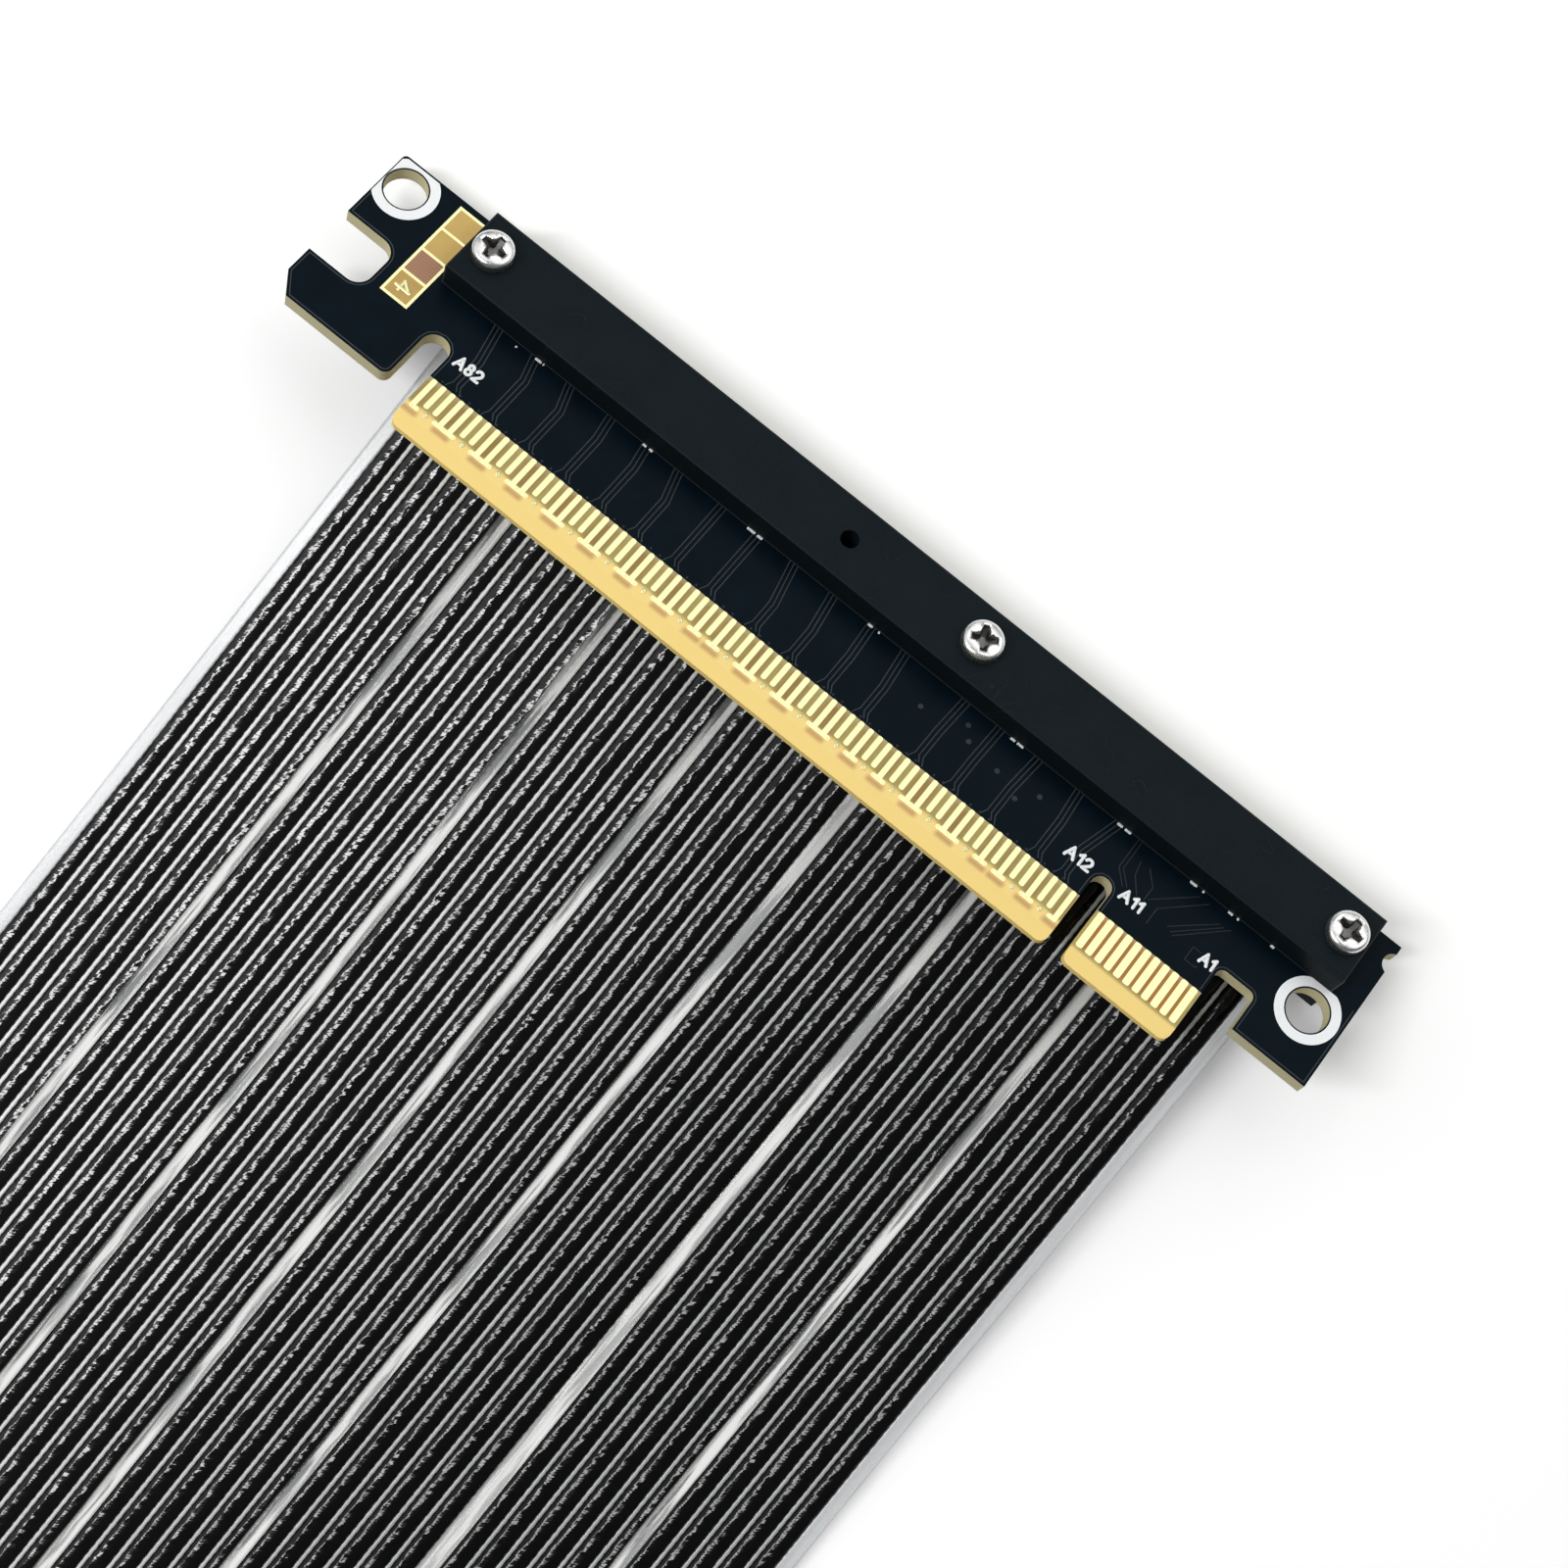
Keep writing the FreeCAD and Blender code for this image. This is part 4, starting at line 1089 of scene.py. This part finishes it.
# Clamp bars: black anodised aluminium, milled, chamfered and bead-blasted. They grip the
# board and the ribbons' ends from both sides, with three screws at each end of the cable.
BAR_LEFT = -77.2
BAR_RIGHT = 21.0
BAR_FRONT = 13.2
BAR_WIDTH = 7.2
BAR_HEIGHT = 3.1
BAR_EDGE_SHEEN = 0.2
SOCKET_PLACE = Vector((31.875, -92.9596, 4.7)) * MM

# Nearness to a box's edges, used to lighten them: a painted highlight on the clamp bars' edges, and
# the slot body's lighter edges.
wear_and_sheen_tree, wear_and_sheen_in, wear_and_sheen_out = socketed(
    "edge_wear_and_sheen", "Place:Vector Low:Vector High:Vector Reach", "Wear", "ShaderNode")
from_low = add(wear_and_sheen_tree, "VectorMath", {0: wear_and_sheen_in["Place"], 1: wear_and_sheen_in["Low"]}, operation="SUBTRACT")
from_high = add(wear_and_sheen_tree, "VectorMath", {
    0: wear_and_sheen_in["High"], 1: wear_and_sheen_in["Place"],
}, operation="SUBTRACT")
nearest = add(wear_and_sheen_tree, "VectorMath", {0: from_low, 1: from_high}, operation="MINIMUM")
depths = axes_of(wear_and_sheen_tree, nearest)
close = [between(wear_and_sheen_tree, depths[axis], wear_and_sheen_in["Reach"], 0.0) for axis in "XYZ"]
total = calc(wear_and_sheen_tree, "ADD", close[0], calc(wear_and_sheen_tree, "ADD", close[1], close[2]))
feed(wear_and_sheen_tree, wear_and_sheen_out["Wear"], between(wear_and_sheen_tree, total, 1.0, 1.5))


def wear_and_sheen(tree, place, low, high, reach):
    return add(tree, "Group", {
        "Place": place, "Low": low, "High": high, "Reach": reach,
    }, node_tree=wear_and_sheen_tree)


def anodised(name, place, turn, front, bottom):
    """Blasted black with fine scratches and rubbed specks, and a painted highlight along the edges.
    """
    made, tree, shader = coating(name, Specular_IOR_Level=0.09)
    local = place_in_mm(tree, place, turn)
    texture = grained(tree, local, 7.0, 0.25)
    swirl = add(tree, "TexNoise", {"Vector": local, "Scale": 0.3, "Detail": 1.0})
    off_line = calc(tree, "ABSOLUTE", calc(tree, "SUBTRACT", swirl, 0.52))
    scratch = calc(tree, "MULTIPLY", between(tree, off_line, 0.004, 0.001),
                   between(tree, texture["Cloud"], 0.48, 0.62))
    rubbed = calc(tree, "MULTIPLY", texture["Specks"], texture["Cloud"])
    rubbed = calc(tree, "MAXIMUM", rubbed, scratch)
    # Painted highlight: the bar's edges are lighter, for light caught on the chamfers.
    edge = wear_and_sheen(tree, local, (BAR_LEFT, front, bottom),
                (BAR_RIGHT, front + BAR_WIDTH, bottom + BAR_HEIGHT), BAR_EDGE_SHEEN)
    light = calc(tree, "MAXIMUM", calc(tree, "MULTIPLY", rubbed, 0.2), edge)
    blasted = tint(tree, texture["Fine"], (0.002, 0.0055, 0.0075, 1), (0.007, 0.013, 0.016, 1))
    paint(
        tree, shader, Base_Color=tint(tree, light, blasted, (0.05, 0.052, 0.056, 1)),
        Roughness=between(tree, texture["Cloud"], 0.3, 0.7, 0.5, 0.62))
    roughen(tree, shader, texture["Fine"], 0.02)
    return made


for side, bottom in (("top", 0), ("bottom", -BOARD_THICKNESS - BAR_HEIGHT)):
    name = f"plug_{side}_bar"
    dress(anodised(name + "_finish", PLUG_PLACE, PLUG_TURN, BAR_FRONT, bottom), name)
    name = f"socket_{side}_bar"
    dress(anodised(name + "_finish", SOCKET_PLACE, 0.0, -BAR_WIDTH, bottom), name)


# Clamp screws: plated steel pan heads with a punched cross recess, coloured darker inside:
# partly painted shade for its depth, partly dark oxide and dirt. They go down through the top
# bars and the boards, and hold in tapped holes of the bottom bars.
SCREW_RADIUS = 0.95
SCREW_HEAD = 1.9
SCREW_HEIGHT = 1.35
SCREW_DEPTH = 7.4
PLUG_SCREWS = ((-74.9, -0.07), (-20.9, 0.49), (18.7, -0.195))
CROSS_LEVELS = ((1.3, 0.3, 0.52, 1.5), (1.12, 0.26, 0.42, 0.95), (0.5, 0.18, 0.26, 0.35))
SCREW_TURNS = 40
SCREW_PROFILE = (
    (SCREW_RADIUS - 0.25, -SCREW_DEPTH), (SCREW_RADIUS, -SCREW_DEPTH + 0.25), (SCREW_RADIUS, 0),
    (SCREW_HEAD - 0.05, 0), (SCREW_HEAD, 0.06), (SCREW_HEAD, 0.8), (SCREW_HEAD - 0.04, 0.97),
    (SCREW_HEAD - 0.15, 1.11), (SCREW_HEAD - 0.35, 1.21), (1.0, 1.29), (0.5, 1.335),
)
RECESS_FLOOR = 0.3
RECESS_TOP = 1.2

steel = mottled(
    "bright_plating", 8.0, 1.5, (0.76, 0.76, 0.75, 1), (0.93, 0.93, 0.92, 1),
    rough=(0.24, 0.38), Metallic=1.0)
# Painted shade with dark oxide: the recess is darker than the plating, for the shade in its depth
# and the dirt inside.
recess_shade_and_oxide = mottled(
    "punched_recess_shade_and_oxide", 8.0, 1.5, (0.07, 0.068, 0.065, 1), (0.24, 0.235, 0.23, 1),
    rough=(0.3, 0.5), Metallic=1.0)


def screw_mesh():
    """Turned screw with a domed head, and a tapering cross cut into it."""
    rows = [[(0, 0, -SCREW_DEPTH)]]
    for radius, z in SCREW_PROFILE:
        angles = [2 * math.pi * i / SCREW_TURNS for i in range(SCREW_TURNS)]
        rows.append([(radius * math.cos(angle), radius * math.sin(angle), z) for angle in angles])
    rows.append([(0, 0, SCREW_HEIGHT)])
    body = skinned("turned_screw", rows)
    body.polygons.foreach_set("use_smooth", [True] * len(body.polygons))
    loops = []
    for arm, half, root, z in CROSS_LEVELS:
        corners = [(arm, -half), (arm, half), (root, root)]
        while len(corners) < 12:
            x, y = corners[-3]
            corners.append((-y, x))
        loops.append([(x, y, z) for x, y in corners])
    head = linked("turned_screw", body)
    tool = linked("cross_cutter", skinned("cross_cutter", loops))
    cut = head.modifiers.new("cross", "BOOLEAN")
    cut.object = tool
    cut.solver = "EXACT"
    made = evaluated(head)
    bpy.data.objects.remove(tool)
    sunk = []
    for face in made.polygons:
        x, y, z = face.center / MM
        sunk.append(math.hypot(x, y) < CROSS_LEVELS[0][0] and RECESS_FLOOR < z < RECESS_TOP)
    made.attributes.new("recess", "BOOLEAN", "FACE")
    made.attributes["recess"].data.foreach_set("value", sunk)
    return made


screws, screws_in, screws_out = socketed(
    "screw_row", "Places:Geometry Screw:Object Finish:Material Recess:Material", "Screws:Geometry")
source = shape(screws, "ObjectInfo", {"Object": screws_in["Screw"]})
spread = shape(screws, "InstanceOnPoints", {
    "Points": screws_in["Places"], "Instance": source.outputs["Geometry"],
    "Rotation": vector(screws, Z=named(screws, "turn")),
})
real = shape(screws, "RealizeInstances", {"Geometry": spread})
plated = shape(screws, "SetMaterial", {"Geometry": real, "Material": screws_in["Finish"]})
dulled = shape(screws, "SetMaterial", {
    "Geometry": plated, "Selection": named(screws, "recess", "BOOLEAN"),
    "Material": screws_in["Recess"],
})
feed(screws, screws_out["Screws"], dulled)
pattern_screw = linked("pattern_screw", screw_mesh())


def screw_row(v, matrix):
    row = points_mesh([(x, v, BAR_HEIGHT) for x, turn in PLUG_SCREWS])
    row.attributes.new("turn", "FLOAT", "POINT")
    row.attributes["turn"].data.foreach_set("value", [turn for x, turn in PLUG_SCREWS])
    made = grown(row, screws, Screw=pattern_screw, Finish=steel, Recess=recess_shade_and_oxide)
    made.transform(matrix)
    return made


SOCKET = Matrix.Translation(SOCKET_PLACE)
piece("plug_screws", screw_row(BAR_FRONT + BAR_WIDTH / 2, PLUG), "screw", "plug_bar_screws")
piece("socket_screws", screw_row(-BAR_WIDTH / 2, SOCKET), "screw", "socket_bar_screws")
bpy.data.objects.remove(pattern_screw)


# Socket board: the same laminate, mask and ink as the plug's, under the slot body. The tails
# of the slot's contacts come through it and are soldered below.
SOCKET_HOLE_XS = (-79.5, 19.0)
SLOT_V = -12.4504
TAIL_ROWS = (-2.9, -0.95, 0.95, 2.9)
TAIL_LENGTH = 0.9
TAIL_FOOT = 0.42
TAIL_TAPER = 0.35
FINE_STROKE = 0.15
SOCKET_LABELS = (
    ("A1", 9.9, 11.1, -8.45, -7.5), ("A82", -71.5, -69.7, -8.45, -7.5),
    ("B1", 9.9, 11.1, -17.45, -16.5), ("B82", -71.5, -69.7, -17.45, -16.5),
)
dress(board_finish("socket_board_finish", SOCKET_PLACE, 0.0, False), "socket_board")
marks = [printed_ring(x, SLOT_V, RING_OUTER, RING_OUTER) for x in SOCKET_HOLE_XS]
marks += [drawn(worded(*label, FINE_STROKE), FINE_STROKE, INK, ink) for label in SOCKET_LABELS]
fixed("socket_marks", marks, SOCKET, "board")

tails, tails_in, tails_out = socketed(
    "solder_tails", "Places:Geometry Foot Length Finish:Material", "Tails:Geometry")
spike = shape(tails, "MeshCone", {
    "Vertices": 8, "Side Segments": 2, "Radius Bottom": tails_in["Foot"],
    "Radius Top": calc(tails, "MULTIPLY", tails_in["Foot"], TAIL_TAPER),
    "Depth": tails_in["Length"],
}, fill_type="NGON")
down = shape(tails, "InstanceOnPoints", {
    "Points": tails_in["Places"], "Instance": spike, "Rotation": (math.pi, 0, 0),
})
finished(tails, down, tails_in["Finish"], tails_out["Tails"])
tail_places = []
for pin in range(1, PIN_COUNT + 1):
    for side in (0, 2):
        tail_places.append((pin_x(pin), SLOT_V + TAIL_ROWS[side + pin % 2], -BOARD_THICKNESS))
soldered = grown(
    points_mesh(tail_places), tails, Foot=TAIL_FOOT * MM, Length=TAIL_LENGTH * MM, Finish=solder)
soldered.transform(SOCKET)
piece("socket_tails", soldered, "solder")


# Slot body: moulded black glass-filled plastic, pressed onto the socket board over its rows
# of spring contacts.
HOUSING_LOW = (-74.65, -16.2, 0)
HOUSING_HIGH = (14.65, -8.7, 11.25)
HOUSING_WEAR = 0.55
moulded, tree, shader = coating("moulded_plastic", Specular_IOR_Level=0.4)
local = place_in_mm(tree, SOCKET_PLACE)
texture = grained(tree, local, 5.0, 0.4)
edge = wear_and_sheen(tree, local, HOUSING_LOW, HOUSING_HIGH, HOUSING_WEAR)
plain = tint(tree, texture["Cloud"], (0.012, 0.012, 0.013, 1), (0.022, 0.022, 0.024, 1))
paint(
    tree, shader, Base_Color=tint(tree, edge, plain, (0.04, 0.04, 0.042, 1)),
    Roughness=between(tree, texture["Fine"], 0.3, 0.7, 0.38, 0.52))
roughen(tree, shader, texture["Fine"], 0.015)
dress(moulded, "socket_housing")


# Table, light and camera: a white table under a narrow lamp and two wide soft panels, in pale
# surroundings, seen from above as in the photograph.
FLOOR_SIDE = 3.0
TABLE_GLOW = 0.2
ROOM_LIGHT = 0.12
LAMP_AIM = Vector((0, 0.06, 0))
floor_mesh = bpy.data.meshes.new("table")
half = FLOOR_SIDE / 2
floor_mesh.from_pydata(
    [(-half, -half, 0), (half, -half, 0), (half, half, 0), (-half, half, 0)], [], [(0, 1, 2, 3)])
white, tree, shader = coating("white_table", Base_Color=(0.92, 0.93, 0.92, 1), Roughness=0.7)
ray = add(tree, "LightPath", {})
seen = calc(tree, "MAXIMUM", ray.outputs["Is Camera Ray"], calc(
    tree, "MAXIMUM", ray.outputs["Is Glossy Ray"], ray.outputs["Is Transmission Ray"]))
paint(tree, shader, Emission_Color=(1, 1, 1, 1),
      Emission_Strength=calc(tree, "MULTIPLY", seen, TABLE_GLOW))
floor_mesh.materials.append(white)
table = linked("table", floor_mesh)


def lamp(name, place, width, depth, power):
    data = bpy.data.lights.new(name, "AREA")
    data.shape = "RECTANGLE"
    data.size = width
    data.size_y = depth
    data.energy = power
    made = linked(name, data)
    made.location = place
    made.rotation_euler = (LAMP_AIM - Vector(place)).to_track_quat("-Z", "Y").to_euler()


lamp("key_lamp", (-0.32, -0.15, 0.8), 0.11, 0.5, 3.7)
lamp("side_panel", (-0.8, 0.05, 0.7), 1.4, 0.9, 2.9)
lamp("back_panel", (0.15, 0.92, 0.78), 1.9, 1.05, 8.3)
room = bpy.data.worlds.new("pale_room")
room.use_nodes = True
paint(room.node_tree, room.node_tree.nodes["Background"], Color=(1, 1, 1, 1), Strength=ROOM_LIGHT)
scene.world = room
scene.view_settings.view_transform = "Standard"

lens = bpy.data.cameras.new("camera")
lens.sensor_width = 36
lens.lens = 69.7123
lens.clip_start = 0.01
camera = linked("camera", lens)
camera.location = (0.01718552, 0.08651458, 0.26827356)
camera.rotation_euler = [math.radians(turn) for turn in (1.80610566, 1.9022253, 38.8022808)]
scene.camera = camera
